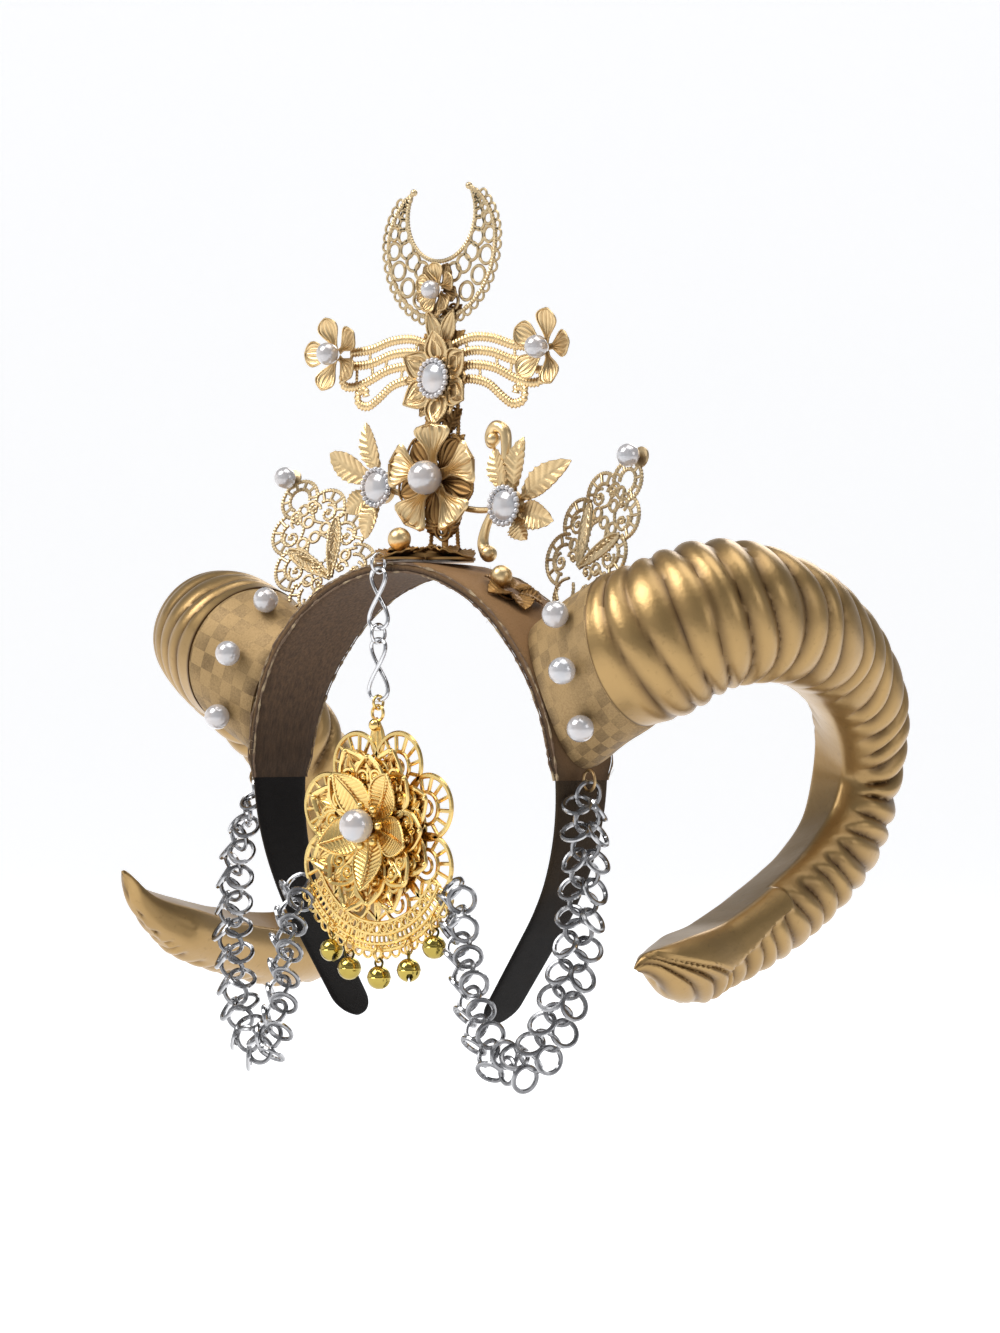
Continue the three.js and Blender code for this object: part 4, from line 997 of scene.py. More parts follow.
def cuff_surface(along, turn, inset):
    """Points of the right cuff: straight lines from an oval on the band to the round seam."""
    radius = COVER_TOP + GAP
    angle = CUFF_ANGLE - (CUFF_HALF_HEIGHT - inset) * np.cos(turn) / COVER_TOP
    depth = (CUFF_HALF_DEPTH - inset) * np.sin(turn)
    foot = np.stack([radius * np.sin(angle), depth, ARCH_Z + radius * np.cos(angle)], -1)
    return foot + (seam_ring(turn, SEAM_RADIUS - inset) - foot) * along[..., None]


def cuff_shell(sign):
    """A cuff and its weave map in mm: outer and inner wall, soft wrinkles and rolled edges."""
    rows, cols = 28, 96
    along = np.linspace(0, 1, rows)[:, None] + np.zeros(cols)
    turn = angles(cols)[None] + CUFF_JOIN + np.zeros((rows, 1))
    middle = np.sin(np.pi * along)
    wrinkle = 0.3 * np.sin(3 * turn + 4 * along) * middle + 0.2 * np.sin(7 * turn - 6 * along)
    roll = 0.5 * (smoothstep(0.08, 0.0, along) + smoothstep(0.95, 1.0, along))
    outer = cuff_surface(along, turn, -wrinkle * middle + roll)
    inner = cuff_surface(along, turn, CUFF_THICK + 0 * along)
    sections = np.concatenate([outer, inner[::-1]])
    sections[..., 0] *= sign
    # Tone: darker at both ends and towards the bottom; painted shade all over the inner wall.
    edge = smoothstep(0.16, 0.0, along) + 0.4 * smoothstep(0.93, 1.0, along)
    hem = 0.35 * smoothstep(0.2, -0.9, np.cos(turn))
    tone = np.concatenate([np.minimum(0.75 * edge + hem, 1), np.ones_like(edge)])
    circuit = TURN * CUFF_MEAN_RADIUS
    length = np.linalg.norm(outer[-1] - outer[0], axis=-1).mean()
    u = np.tile((angles(cols) / TURN * circuit)[None], (2 * rows, 1))
    v = np.concatenate([along, along[::-1]]) * length
    return loft(sections, tone, wrap=True), np.stack([u, v], -1).reshape(-1, 2)


def add_weave_map(made, places, square):
    """Gives a cuff its weave map, counted in checks; corners past the join count on to a whole circuit."""
    mesh = made.data
    circuit = TURN * CUFF_MEAN_RADIUS
    corner = np.zeros(len(mesh.loops), np.int32)
    mesh.loops.foreach_get("vertex_index", corner)
    uv = places[corner].reshape(-1, 4, 2)
    crossing = np.ptp(uv[..., 0], axis=1)[:, None] > circuit / 2
    uv[..., 0] += np.where(crossing & (uv[..., 0] < circuit / 2), circuit, 0)
    checks = 2 * round(circuit / square / 2)
    uv = uv * np.array((checks / circuit, 1 / square))
    mesh.uv_layers.new(name="weave").data.foreach_set("uv", uv.astype(np.float32).ravel())


# Horns


def horn_line(name):
    """Centre line and radius of a horn for the right side, twisted about the seam's axis and yawed."""
    twist, yaw = HORN_TURNS[name]
    route = HORN_ROUTE.copy()
    bent = turned(turned(route[:, :3] - SEAM_CENTER, SEAM_AXIS, twist), UP, yaw)
    route[:, :3] = bent + SEAM_CENTER
    route[-LIFTED_POINTS:, 2] += HORN_TIP_LIFT[name] * np.arange(1, LIFTED_POINTS + 1) / LIFTED_POINTS
    start = np.array(((*SEAM_CENTER, SEAM_RADIUS), (*(SEAM_CENTER + COLLAR * SEAM_AXIS), SEAM_RADIUS)))
    return spline(np.concatenate([start, route]), count=HORN_POINTS)


def softened(vectors, reach):
    """Directions along a line, each averaged with its neighbours inside a reach that shrinks at the ends."""
    count = len(vectors)
    at = np.arange(count)
    near = np.minimum(reach, np.minimum(at, count - 1 - at))
    total = np.concatenate([np.zeros((1, 3)), np.cumsum(vectors, 0)])
    return unit(total[at + near + 1] - total[at - near])


def horn_axes(center):
    """Directions on a horn's centre line: along it, towards the inside of its curl and across both."""
    along = softened(np.gradient(center, axis=0), 18)
    toward = (center.min(0) + center.max(0)) / 2 - center
    inward = unit(toward - along * np.einsum("ij,ij->i", toward, along)[:, None])
    return along, inward, np.cross(along, inward)


def arched(phase):
    """Rounded ribs with sharp grooves between them, one to each whole step of phase."""
    return 1 - np.abs(2 * (phase % 1.0) - 1) ** 2.2


def rib_phase(run, u, side, outer, size):
    """Ribs counted from the first one: spacing and lean towards the outside from tables, and a wander."""
    spacing = size.rib_pitch / MM * np.interp(u, RIB_SPACING["at"], RIB_SPACING["share"])
    phase = np.cumsum(np.gradient(run[:, 0])[:, None] / spacing, 0)
    lean = size.rib_slant * np.interp(u, RIB_LEAN["at"], RIB_LEAN["share"]) * outer
    wander = 0.09 * np.sin(2 * side + 50 * u) + 0.07 * np.sin(3 * side - 83 * u)
    return phase - np.interp(size.smooth_start / MM, run[:, 0], phase[:, 0]) + lean + wander


def horn_radius(name, radius, u):
    """A horn's radius with the swelling and the thinning of its tip."""
    radius = radius + HORN_TIP_SWELL[name] * smoothstep(0.86, 0.93, u) * smoothstep(1.02, 0.95, u)
    early, late = HORN_TIP_THIN[name]
    return radius * (1 - early * smoothstep(0.6, 0.82, u) - late * smoothstep(0.86, 1.0, u))


def tip_plate(u, side, ridge, hoof):
    """Where a smooth raised plate lies before the hoof, 0 to 1: between the face's ridge and the ribs."""
    start = 0.758 + 0.016 * ((side + 0.7) / 0.5) ** 2
    hem = -1.7 + 0.6 * smoothstep(0.92, 0.78, u)
    begun = smoothstep(0, 0.007, u - start) * (1 - hoof)
    return begun * smoothstep(hem, hem + 0.08, side) * smoothstep(ridge, ridge - 0.06, side)


def horn_shell(name, sign, size):
    """A ribbed horn: round sections on its centre line, the angle side counted from the inside of the curl.

    Ribs are arches whose spacing follows a table. They lean towards the base on the outside and fade
    towards a flat inner face. Near the tip a smooth raised plate lies between that face's edge and the
    ribs; the tip is cut obliquely and its grooves fan out from the point.
    """
    line = horn_line(name)
    run = run_of(line)[:, None]
    u = run / run[-1]
    along, inward, across = horn_axes(line[:, :3])
    side = ((angles(HORN_SIDES) + np.pi) % TURN - np.pi)[None]
    outer = (1 - np.cos(side)) / 2
    later = smoothstep(0.22, 0.5, u)

    phase = rib_phase(run, u, side, outer, size)
    strength = smoothstep(-0.6, -0.1, phase) * smoothstep(0.06 * later - 0.02, 0.08 + 0.14 * later, outer)
    strength = strength * (1 - smoothstep(0.34, 0.5, u) * smoothstep(0.05, 0.55, np.sin(side)))
    hoof_start = 0.89 + 0.09 * smoothstep(-1.85, -0.5, side)
    hoof = smoothstep(-0.004, 0.004, u - hoof_start)
    fan = arched(3.5 * (u - hoof_start) / (1.01 - hoof_start))
    rib = arched(phase) * (1 - hoof) + fan * hoof
    strength = strength + hoof * (smoothstep(-0.2, -0.5, side) * smoothstep(-3.1, -2.6, side) - strength)

    facet = 0.5 - 0.2 * smoothstep(0.6, 0.9, u)
    raised = tip_plate(u, side, facet - 0.59, hoof)
    strength = strength * (1 - raised)

    dents = 0.006 * np.sin(3 * side + 19 * u) + 0.005 * np.sin(5 * side - 31 * u)
    dents = dents + 0.004 * np.sin(2 * side + 57 * u)
    radius = horn_radius(name, line[:, 3:4], u)
    growth = 0.6 + 0.6 * smoothstep(0.02, 0.14, u) + 0.15 * later
    depth = size.rib_depth / MM * np.sqrt(radius / 16) * growth
    reach = radius * (1 + dents) + depth * (rib - 0.7) * strength + TIP_PLATE_RISE * raised
    face = radius * FLAT_FACE_SHARE / np.cos(side - facet).clip(0.05)
    reach = reach + smoothstep(0.3, 0.52, u) * (np.minimum(reach, face) - reach)
    end = np.clip((u - 0.985) / 0.015, 0, 1)
    reach = reach * np.sqrt(1 - 0.93 * end**2)

    direction = np.cos(side)[..., None] * inward[:, None] + np.sin(side)[..., None] * across[:, None]
    forward = HORN_TIP_SLANT[name] * radius * (np.cos(side + 0.35) - 0.55) * smoothstep(0.86, 0.985, u)
    sections = line[:, None, :3] + reach[..., None] * direction + forward[..., None] * along[:, None]
    sections[..., 0] *= sign
    # Tone: painted shade in the grooves, on the inner face of the curl and in the gap at the seam.
    inside = smoothstep(0.45, 0.1, outer) * later
    tone = (1 - rib) * strength + 0.3 * inside * (1 - raised) + smoothstep(0.006, 0.001, u)
    return loft(sections, np.clip(tone, 0, 1))


# Crown ornament

CRESCENT_MIDDLE = np.array((0, 115.3))
CRESCENT_HALF_WIDTH = 25.6
CRESCENT_RISE = 21.5
CRESCENT_DROP = 26.6
CRESCENT_HOLE = np.array((0, 125.0))
CRESCENT_HOLE_RADIUS = 16.2
CRESCENT_REACH = np.radians(149)
SCALLOP_REACH = np.radians(132)
COLUMN_HALF_WIDTH = 6.6
COLUMN_LEVELS = np.linspace(16, 88, 9)

# Cross bar, right side: centre lines of the ribs from top to bottom, and ties between them.
WING_RIBS = (
    ((5, 79.4), (14, 82), (24, 81.6), (34, 79), (44, 78)),
    ((5, 75.2), (14, 77.4), (24, 76.8), (34, 74), (45, 73.2)),
    ((5, 70.6), (14, 72.6), (25, 71.6), (35, 67.8), (42, 66), (47, 66.6), (48, 69.4), (45.6, 70.4)),
    (
        (5, 66.4), (14, 67.8), (23, 66), (30, 61.4), (35, 59),
        (39.6, 60.4), (39.6, 64), (36.4, 64.6), (35.8, 62.6),
    ),
)
WING_TIES = (
    ((19, 67.4), (18.6, 72.2)),
    ((27, 71.4), (26, 76.4)),
    ((35, 74), (34.4, 79)),
    ((41, 66.4), (41, 73.4)),
    ((12, 77), (12, 81.4)),
    ((44, 73), (44, 78)),
    ((11, 67.4), (11, 72)),
    ((33, 68.6), (33.6, 74.2)),
)

# Sprigs: middle of the stone, root of the stem, and tip and width of each leaf.
SPRIGS = {
    "left": {
        "center": (-28, 31.6),
        "root": (-5, 29),
        "leaves": ((-37, 55, 7.5), (-55, 45, 8.5), (-46.5, 24, 7.5), (-37.5, 14, 7.5)),
    },
    "right": {
        "center": (33, 22.7),
        "root": (5, 24),
        "leaves": ((25, 43, 7.5), (38.5, 46, 7.5), (60, 37, 8.5), (52, 17, 9), (40, 11, 7.5)),
    },
}

# Scroll of the right sprig: centre line with its radius, and its two end balls.
SCROLL = (
    (26.2, 45.2, 1.2),
    (24.2, 44, 1.6),
    (23.6, 46.6, 2.0),
    (26, 50, 2.2),
    (30, 48.6, 2.1),
    (31, 42, 1.8),
    (29.4, 33, 1.5),
    (26, 23, 1.4),
    (21.6, 16, 1.6),
    (20.2, 10.4, 2.0),
    (22, 6.6, 2.4),
)
SCROLL_BALLS = {"at": ((25.4, 45.8, 1.6), (23.2, 6.8, 1.4)), "radius": (2.5, 2.9)}


def crescent_edges(bearing):
    """Outer and inner edge of the crescent at bearings from its lowest point: an oval round a round hole."""
    rise = -np.cos(bearing)
    height = rise * np.where(rise > 0, CRESCENT_RISE, CRESCENT_DROP)
    outer = CRESCENT_MIDDLE + np.stack([CRESCENT_HALF_WIDTH * np.sin(bearing), height], -1)
    return outer, CRESCENT_HOLE + CRESCENT_HOLE_RADIUS * unit(outer - CRESCENT_HOLE)


def crescent_shell(wire):
    """Lace crescent: milled wire along both edges, two rows of round cells between and scallops outside."""
    bearing = np.linspace(-CRESCENT_REACH, CRESCENT_REACH, 260)
    outer, inner = crescent_edges(bearing)
    border = np.concatenate([outer, inner[::-1]])
    parts = [rope(flat(spline(border, step=0.2, closed=True)), wire * 1.35, wrap=True, sides=6)]
    span = np.linalg.norm(outer - inner, axis=-1)
    cell = (span * 0.235).clip(0.9, 3.1)
    count = np.cumsum(np.linalg.norm(np.gradient((outer + inner) / 2, axis=0), axis=1) / (2.1 * cell))
    for share, offset in ((0.26, 0.0), (0.74, 0.5)):
        at = np.interp(np.arange(2, count[-1] - 2) + offset, count, bearing)
        out, inside = crescent_edges(at)
        sizes = np.interp(at, bearing, cell)
        for center, size in zip(inside + share * (out - inside), sizes):
            parts.append(wires([ring_path(center, size, 26)], wire * 1.15, 0.1, wrap=True, sides=6))
    rim, _ = crescent_edges(np.linspace(-SCALLOP_REACH, SCALLOP_REACH, 34))
    parts.append(rings(rim + unit(rim - CRESCENT_MIDDLE), 1.65, wire * 0.9))
    tips, _ = crescent_edges(np.array((-CRESCENT_REACH, CRESCENT_REACH)))
    parts.append(balls(flat(tips), 1.25))
    return join(*parts)


def column_shell(wire):
    """Filigree column: edge wires, a ladder of double rings and curls, and leaves at its sides."""
    parts = []
    for x in (-COLUMN_HALF_WIDTH, COLUMN_HALF_WIDTH):
        edge = spline([(x, 9), (x * 0.8, 30), (x, 52), (x * 0.8, 74), (x * 0.6, 93)], step=0.25)
        parts.append(wires([edge], wire * 1.3, milled=True))
    parts.append(tube(flat(((0, 9), (0, 40), (0, 94)), -0.3), 1.6, oval=0.35))
    centers = np.column_stack([0 * COLUMN_LEVELS, COLUMN_LEVELS])
    parts += [rings(centers, 3.7, wire, 0.4), rings(centers, 2.0, wire, 0.7)]
    for i, z in enumerate(COLUMN_LEVELS):
        for _, sign in SIDES:
            spiral = curl((sign * 4.4, z + 3.6), 2.4, 90 - sign * 90, sign * 1.3)
            parts.append(wires([spiral], wire * 0.9, 0.5))
            tip = (sign * (8.2 + 1.4 * (i % 2)), z + 5.5)
            parts.append(leaf((sign * 2.5, z - 2.5), tip, 4.6, 5, 0.8))
    return shaded(join(*parts), 0.2)


def small_flower(reach, width, layers=1):
    """A flower of five spoon petals with veins, in one or two layers."""
    form = Form(peak=0.7, fullness=0.75, root=0.2, rise=reach * 0.22, cup=0.22)
    parts = [around(petal(1.5, reach - 1.5, width, form, flutes=5, flute=0.24), 5)]
    parts.append(around(petal_rim(1.5, reach - 1.5, width, 0.3, form, lift=0.0), 5))
    if layers > 1:
        back = around(petal(1.5, reach * 0.92, width * 0.9, form, flutes=5), 5, 36)
        parts.append(shaded(shifted(back, height=-0.9), 0.45))
    return join(*parts)


def pointed_flower():
    """The flower in the middle of the cross bar: six pointed filigree petals over a second layer."""
    form = Form(peak=0.42, fullness=1.0, root=0.4, rise=2.6, cup=0.12)
    front = around(petal(5, 11.5, 10.2, form, flutes=3, flute=0.25), 6)
    rim = around(petal_rim(5, 11.5, 10.2, 0.42, form), 6)
    inner = around(petal_rim(6.5, 7.0, 5.0, 0.3, form, lift=0.45), 6)
    back = around(petal(4, 10.5, 9.0, form, flutes=4), 6, 30)
    beads = balls(flat(ring_path((0, 0), 7.2, 12), 1.1), 0.75, BEAD_GRID, 0.35)
    return join(front, rim, inner, shaded(shifted(back, height=-0.8), 0.5), beads)


def fan_flower():
    """The big flower: five broad fluted petals with wavy rims."""
    form = Form(peak=0.84, fullness=0.5, root=0.28, rise=1.2, cup=0.03)
    return around(petal(2, 16.8, 15.8, form, flutes=9, flute=0.26, wave=0.35, thick=0.55), 5)


def fan_flower_back():
    """The layer behind the big flower: narrower veined petals with lace rims between the broad ones, darker
    as painted shade.
    """
    form = Form(peak=0.7, root=0.3, rise=0.3)
    back = around(petal(2, 14, 11, form, flutes=5, flute=0.3), 5, 36)
    lace = around(petal_rim(2, 14.6, 12.2, 0.5, form), 5, 36)
    return shaded(join(back, lace), 0.3)


def wing_shell(wire):
    """The cross bar: wavy corrugated ribs to either side with ties, two petals upwards and a round hub."""
    parts = []
    for _, sign in SIDES:
        for points in WING_RIBS:
            path = flat(spline(np.array(points) * (sign, 1), step=0.24), 0.5)
            parts.append(rope(path, wire * 2.8, 1.45, 0.16, oval=0.55))
        for low, high in WING_TIES:
            points = np.array((low, np.mean((low, high), 0), high)) * (sign, 1)
            parts.append(rope(flat(spline(points, step=0.2), 0.3), wire * 1.3, oval=0.6, sides=6))
    form = Form(peak=0.5, fullness=0.9, rise=0.8)
    upright = join(petal(0, 15, 6.4, form, flutes=3, flute=0.25), petal_rim(0, 15, 6.4, 0.42, form))
    parts += [shifted(around(upright, 1, turn), 0, 78, 0.6) for turn in (-24, 24)]
    # The hub behind the centre flower gets painted shade.
    parts.append(shifted(plate(ring_path((0, 0), 8.6, 40), 0.2, 0.8, swell=0.8, tone=0.75), 0, 71))
    return shifted(join(*parts), 0, -WING_Z)


def sprig_shell(name):
    """A sprig: serrated leaves on stalks round a stone's cup, a stem, and a scroll on the right one."""
    center = np.array(SPRIGS[name]["center"], float)
    root = np.array(SPRIGS[name]["root"])
    # The stone's cup gets painted shade under the stone.
    parts = [shifted(plate(ring_path((0, 0), 5.6, 36), 2.2, 2.1, tone=0.6), *center)]
    stem = spline(np.stack([root, (root + center) / 2 + (0, -1.5), center]), step=0.5)
    parts.append(tube(flat(stem, 0.6), 1.1, tone=0.2))
    for x, z, width in SPRIGS[name]["leaves"]:
        tip = np.array((x, z), float)
        start = center + 4.6 * unit(tip - center)
        parts.append(shifted(leaf(start, tip, width, 8, 1.7), height=0.5))
        parts.append(tube(flat(np.stack([center, start, start + 0.2 * (tip - start)]), 0.9), 0.6, tone=0.2))
    if name == "right":
        path = spline(SCROLL, step=0.45)
        parts.append(tube(flat(path[:, :2], 1.0), path[:, 2], sides=16, tone=-0.15))
        parts.append(balls(SCROLL_BALLS["at"], SCROLL_BALLS["radius"]))
    return join(*parts)


# Base plates and side panels

# Gold beads on the leaf plates: middle and radius.
BASE_BEAD = ((0, -12.5, 7.3), 4.0)
PANEL_BEAD = ((-4, -4, 4.5), 3.7)

# Lobes of a side panel's right half: centre, radius, and the angles where the border starts and ends.
PANEL_LOBES = (
    ((8.0, 13.5), 8.4, -118, 66),
    ((9.4, 26.8), 7.9, -58, 84),
    ((6.8, 39.4), 7.2, -44, 92),
)
PANEL_WAVES = (
    ((1.2, 2), (4.4, 4.4), (3.6, 8), (1.4, 10.5)),
    ((2.0, 33), (4.2, 29), (3.4, 24), (5.2, 20.5)),
    ((0.6, 46.4), (2.8, 43), (2.2, 38.6), (4.6, 35.6)),
    ((12.0, 19.4), (9.0, 20.4), (7.6, 18.4)),
    ((12.0, 33.8), (8.6, 33.6), (6.8, 31.4)),
    ((0.4, 22.6), (2.6, 20.6), (2.4, 17.6)),
)
PANEL_RINGS = (
    (0, 33),
    (0, 39.5),
    (0, 44.6),
    (4.6, 33.6),
    (-4.6, 33.6),
    (3.2, 44),
    (-3.2, 44),
    (7.4, 19.6),
    (-7.4, 19.6),
)
PANEL_TOP = (0, 49.2)
TIE_STEP = 36
BORDER_WIDTH = 3.5
FEATHER_LENGTH = 21.0
FEATHER_WIDTH = 4.6
FEATHER_TILT = 27
PANEL_STRETCH = (1.17, 1.02)


def lobed(radius, lobes, notch):
    """A closed outline with round lobes, the first one towards -y."""
    angle = angles(180)
    swell = np.abs(np.cos(lobes * angle / 2)) ** 0.6
    reach = radius * (notch + (1 - notch) * swell)
    return np.stack([reach * np.sin(angle), -reach * np.cos(angle)], -1)


def leaf_rosette(radius, lobes, width, height, start, arch_height):
    """Leaves round a centre, as stacked on the band."""
    one = leaf((0, 1.5), (0, radius), width, 7, arch_height)
    return shifted(around(one, lobes, start), height=height)


def base_shell():
    """Two stacked leaf plates on top of the band, a round cup between them and an eye for the pendant."""
    low = join(plate(lobed(20.5, 4, 0.5), 0.9, 0.8, swell=0.7), leaf_rosette(22, 4, 17, 0.9, 0, 0.8))
    high = plate(lobed(13, 6, 0.55), 3.2, 0.8, swell=0.5, tone=0.2)
    high = join(high, leaf_rosette(15, 6, 10.5, 2.9, 30, 0.9))
    cup = plate(ring_path((0, 0), 11.0, 40), 3.0, 2.4, tone=0.1)
    return shaded(join(low, high, cup, rings(((0, -20.0),), 1.6, 0.4, 0.9)), -0.05)


def panel_base_shell():
    """Leaves under a side panel."""
    # The foot plate gets painted shade under the leaves.
    foot = plate(lobed(8, 3, 0.5), 0.8, 0.7, swell=0.5, tone=0.7)
    return shaded(join(foot, leaf_rosette(11.5, 5, 8.5, 0.6, 36, 1.2)), 0.3)


def feather(tilt):
    """A feather vein of a side panel: a narrow ribbed leaf, turned from the panel's axis by degrees."""
    form = Form(peak=0.6, fullness=0.55, root=0.3, rise=0.4)
    blade = petal(0, FEATHER_LENGTH, FEATHER_WIDTH, form, bars=11, bar=0.34, slant=0.9, thick=0.8)
    rim = petal_rim(0, FEATHER_LENGTH, FEATHER_WIDTH, 0.42, form, lift=0.05)
    return shifted(around(join(blade, rim), 1, tilt), 0, 15.5, 0.9)


def panel_shell(wire):
    """A side panel: double scalloped borders with ties, ball-ended curls, inner rings and two feathers."""
    parts = [shaded(join(feather(FEATHER_TILT), feather(-FEATHER_TILT)), -0.3)]
    borders, ties, curls, beads = [], [], [], []
    for center, radius, start, end in PANEL_LOBES:
        inner = radius - BORDER_WIDTH
        borders += [arc(center, reach, start, end, 0.28) for reach in (radius, inner)]
        ties += spokes(center, (inner, (radius + inner) / 2, radius), np.arange(start + 12, end, TIE_STEP))
        large, small = np.array(center) + (0.6, -1.6), np.array(center) + (-3.4, 3.0)
        curls += [curl(large, 3.1, end - 20, -1.15), curl(small, 2.4, -30, 1.0)]
        beads += [large, small]
    curls += [spline(points, step=0.28) for points in PANEL_WAVES]
    for half in (np.asarray, mirrored_x):
        parts.append(wires([half(path) for path in borders], wire, 0.5, True, sides=6))
        parts.append(wires([half(path) for path in ties], wire * 0.85, 0.5))
        parts.append(wires([half(path) for path in curls], wire * 0.85, 0.6, True, sides=6))
        parts.append(balls(flat([half(place) for place in beads], 0.9), 0.85, BEAD_GRID))
    crown = [arc(PANEL_TOP, reach, -38, 218, 0.2) for reach in (6.6, 3.8)]
    parts.append(wires([*crown, arc((0, 4.2), 4.0, 170, 370, 0.2)], wire, 0.5, True, sides=6))
    parts.append(wires(spokes(PANEL_TOP, (3.8, 5.2, 6.6), np.arange(-26, 210, TIE_STEP)), wire * 0.85, 0.5))
    parts.append(rings(PANEL_RINGS, 1.8, wire * 0.9, 0.5))
    parts.append(shifted(plate(ring_path((0, 0), 3.4, 30), 0.9, 0.8, swell=0.3, tone=0.4), 0, 58.2))
    return stretched(shaded(join(*parts), 0.12), *PANEL_STRETCH)


# Pendant, medallion and bells

# Apron of the medallion: reach of its hoops, and bars between each two.
APRON_REACHES = (29.5, 33.4, 36.6, 38.8)
APRON_BARS = (26, 34, 44)

# Rows of rings on the apron: reach, ring radius, wire, height and points of a ring.
APRON_RINGS = ((39.6, 1.9, 0.5, 0.8, 18), (31.5, 1.5, 0.45, 1.2, 16))

# Lattice dish: radius, waves round it and how fast they wind.
DISH_RADIUS = 23
DISH_WAVES = 24
DISH_TWIST = 0.55

# Rim of a scroll cup: points of the drawing plane.
CUP_RIM = (
    (-3.4, 7), (-6.2, 13), (-6, 19.4), (-2.6, 23.4), (0, 25),
    (2.6, 23.4), (6, 19.4), (6.2, 13), (3.4, 7),
)

# Rings of the pendant chain: name, wire and finish.
PENDANT_RINGS = (("top", 0.62, "steel_wire"), ("mid", 0.62, "steel_wire"), ("low", 0.5, "bright_gold"))

# Figure-eight links and bells.
LINK_HEIGHT = 20.7
LINK_HALF_WIDTH = 3.9
LINK_WIRE = 0.72
BELL_TURNS = np.radians((-20, 35, 10, -40, 25))
BELL_RADIUS = 4.0
BELL_DEPTH = 1.3
BELL_HOLE_OFFSET = 3.0
BELL_HOLE_RADIUS = 0.95
BELL_SLOT_HALF = 0.38
BELL_EYE_RADIUS = 1.5


def figure_eight(height, half_width, wire):
    """A wire link that crosses itself in the middle, one strand in front of the other."""
    turn = angles(120)
    depth = (wire + 0.15) * np.sin(turn)
    path = np.stack([half_width * np.sin(2 * turn), height / 2 * np.cos(turn), depth], -1)
    return tube(path, wire, wrap=True, sides=12)


def standing_ring(center, radius, wire, normal):
    """A wire ring round a centre across a normal."""
    normal = unit(np.array(normal, float))
    first = unit(np.cross(normal, (0.1, 0.2, 0.97)))
    second = np.cross(normal, first)
    turn = angles(36)[:, None]
    path = np.asarray(center) + radius * (np.cos(turn) * first + np.sin(turn) * second)
    return tube(path, wire, normal=normal, wrap=True, sides=10)


def node_ring(node, wire, normal=(1, 0, 0)):
    """A wire ring as high as a construction node."""
    low, high = node_box(node)
    return standing_ring((low + high) / 2, (high - low)[2] / 2 - wire, wire, normal)


def lobe_fan():
    """One fan lobe of the medallion's back: a round rim, spokes, two inner arches and two curls."""
    rim = arc((0, 26), 10.6, -32, 212)
    inner = arc((0, 25), 5.4, -20, 200)
    bars = spokes(((0, 25), (0, 25.5), (0, 26)), (5.4, 8, 10.4), np.linspace(2, 178, 7))
    small = [arc((0, 25), 2.6, -20, 200), curl((-3.6, 20.4), 2.3, 80, 1.1), curl((3.6, 20.4), 2.3, 100, -1.1)]
    return join(
        wires([rim], 1.0, 0.5, oval=0.7, sides=6),
        wires(bars, 0.72, 0.4, sides=6),
        wires([inner], 0.75, 0.6, sides=6),
        wires(small, 0.6, 0.6, sides=6),
    )


def scroll_cup():
    """One scroll cup of the middle layer: an arched rim, curls with balls, a ribbed tongue and a base."""
    curls = [
        curl((-2.7, 17.6), 2.9, 200, -1.35, 0.45),
        curl((2.7, 17.6), 2.9, -20, 1.35, 0.45),
        curl((-2.4, 12), 1.9, 220, 1.1, 0.4),
        curl((2.4, 12), 1.9, -40, -1.1, 0.4),
    ]
    tongue = petal(6, 16, 5.0, Form(peak=0.6, rise=0.6), flutes=3, flute=0.3)
    base = petal(4, 20, 12, Form(peak=0.55, fullness=0.6, root=0.5, rise=0.2), flutes=5, flute=0.25)
    return join(
        wires([spline(CUP_RIM, step=0.5)], 0.85, 1.2, oval=0.9, sides=6),
        wires(curls, 0.7, 1.1, sides=6),
        shifted(tongue, height=0.9),
        shaded(base, 0.4),
        balls(((-2.7, 17.6, 1.5), (2.7, 17.6, 1.5), (0, 24.6, 1.6)), (1.0, 1.0, 0.9), BEAD_GRID),
    )


def lattice_dish():
    """A round dish: its height is the product of two spiral waves that cross each other."""
    angle = angles(144)[None]
    radius = np.linspace(2, DISH_RADIUS, 26)[:, None]
    wind = radius * DISH_TWIST
    lattice = np.cos(DISH_WAVES * angle + wind) * np.cos(DISH_WAVES * angle - wind)
    across = np.stack([radius * np.sin(angle), radius * np.cos(angle)], -1)
    top = np.concatenate([across, (0.45 + 0.35 * lattice)[..., None]], -1)
    under = np.concatenate([across, (-0.2 * lattice)[..., None]], -1)
    # Painted shade in the dips of the lattice.
    tone = 0.5 - 0.4 * lattice
    return loft(np.concatenate([top, under[::-1]]), np.concatenate([tone, tone[::-1]]))


def medallion_back():
    """Back of the medallion: fan lobes, a lattice dish, a scalloped apron below and the bail on top."""
    parts = [around(lobe_fan(), MEDALLION_LOBES, 22.5), lattice_dish()]
    hoops = [arc((0, 0), reach, -152, -28, 0.6) for reach in APRON_REACHES]
    parts.append(wires(hoops, 0.7, 0.9, sides=6))
    for inner, outer, count in zip(APRON_REACHES, APRON_REACHES[1:], APRON_BARS):
        bars = spokes((0, 0), (inner, (inner + outer) / 2, outer), np.linspace(-150, -30, count))
        parts.append(wires(bars, 0.5, 0.8))
    scallops = rays(np.radians(np.linspace(-148, -32, 19)))
    parts += [rings(scallops * reach, *ring) for reach, *ring in APRON_RINGS]
    parts.append(shifted(petal(26, 14, 7, Form(peak=0.45, rise=0.4), flutes=3), height=0.8))
    parts.append(balls(((0, 37.5, 1.8),), 2.2))
    parts.append(rings(((0, 41.5),), 2.6, 0.6, 0.5))
    return join(*parts)


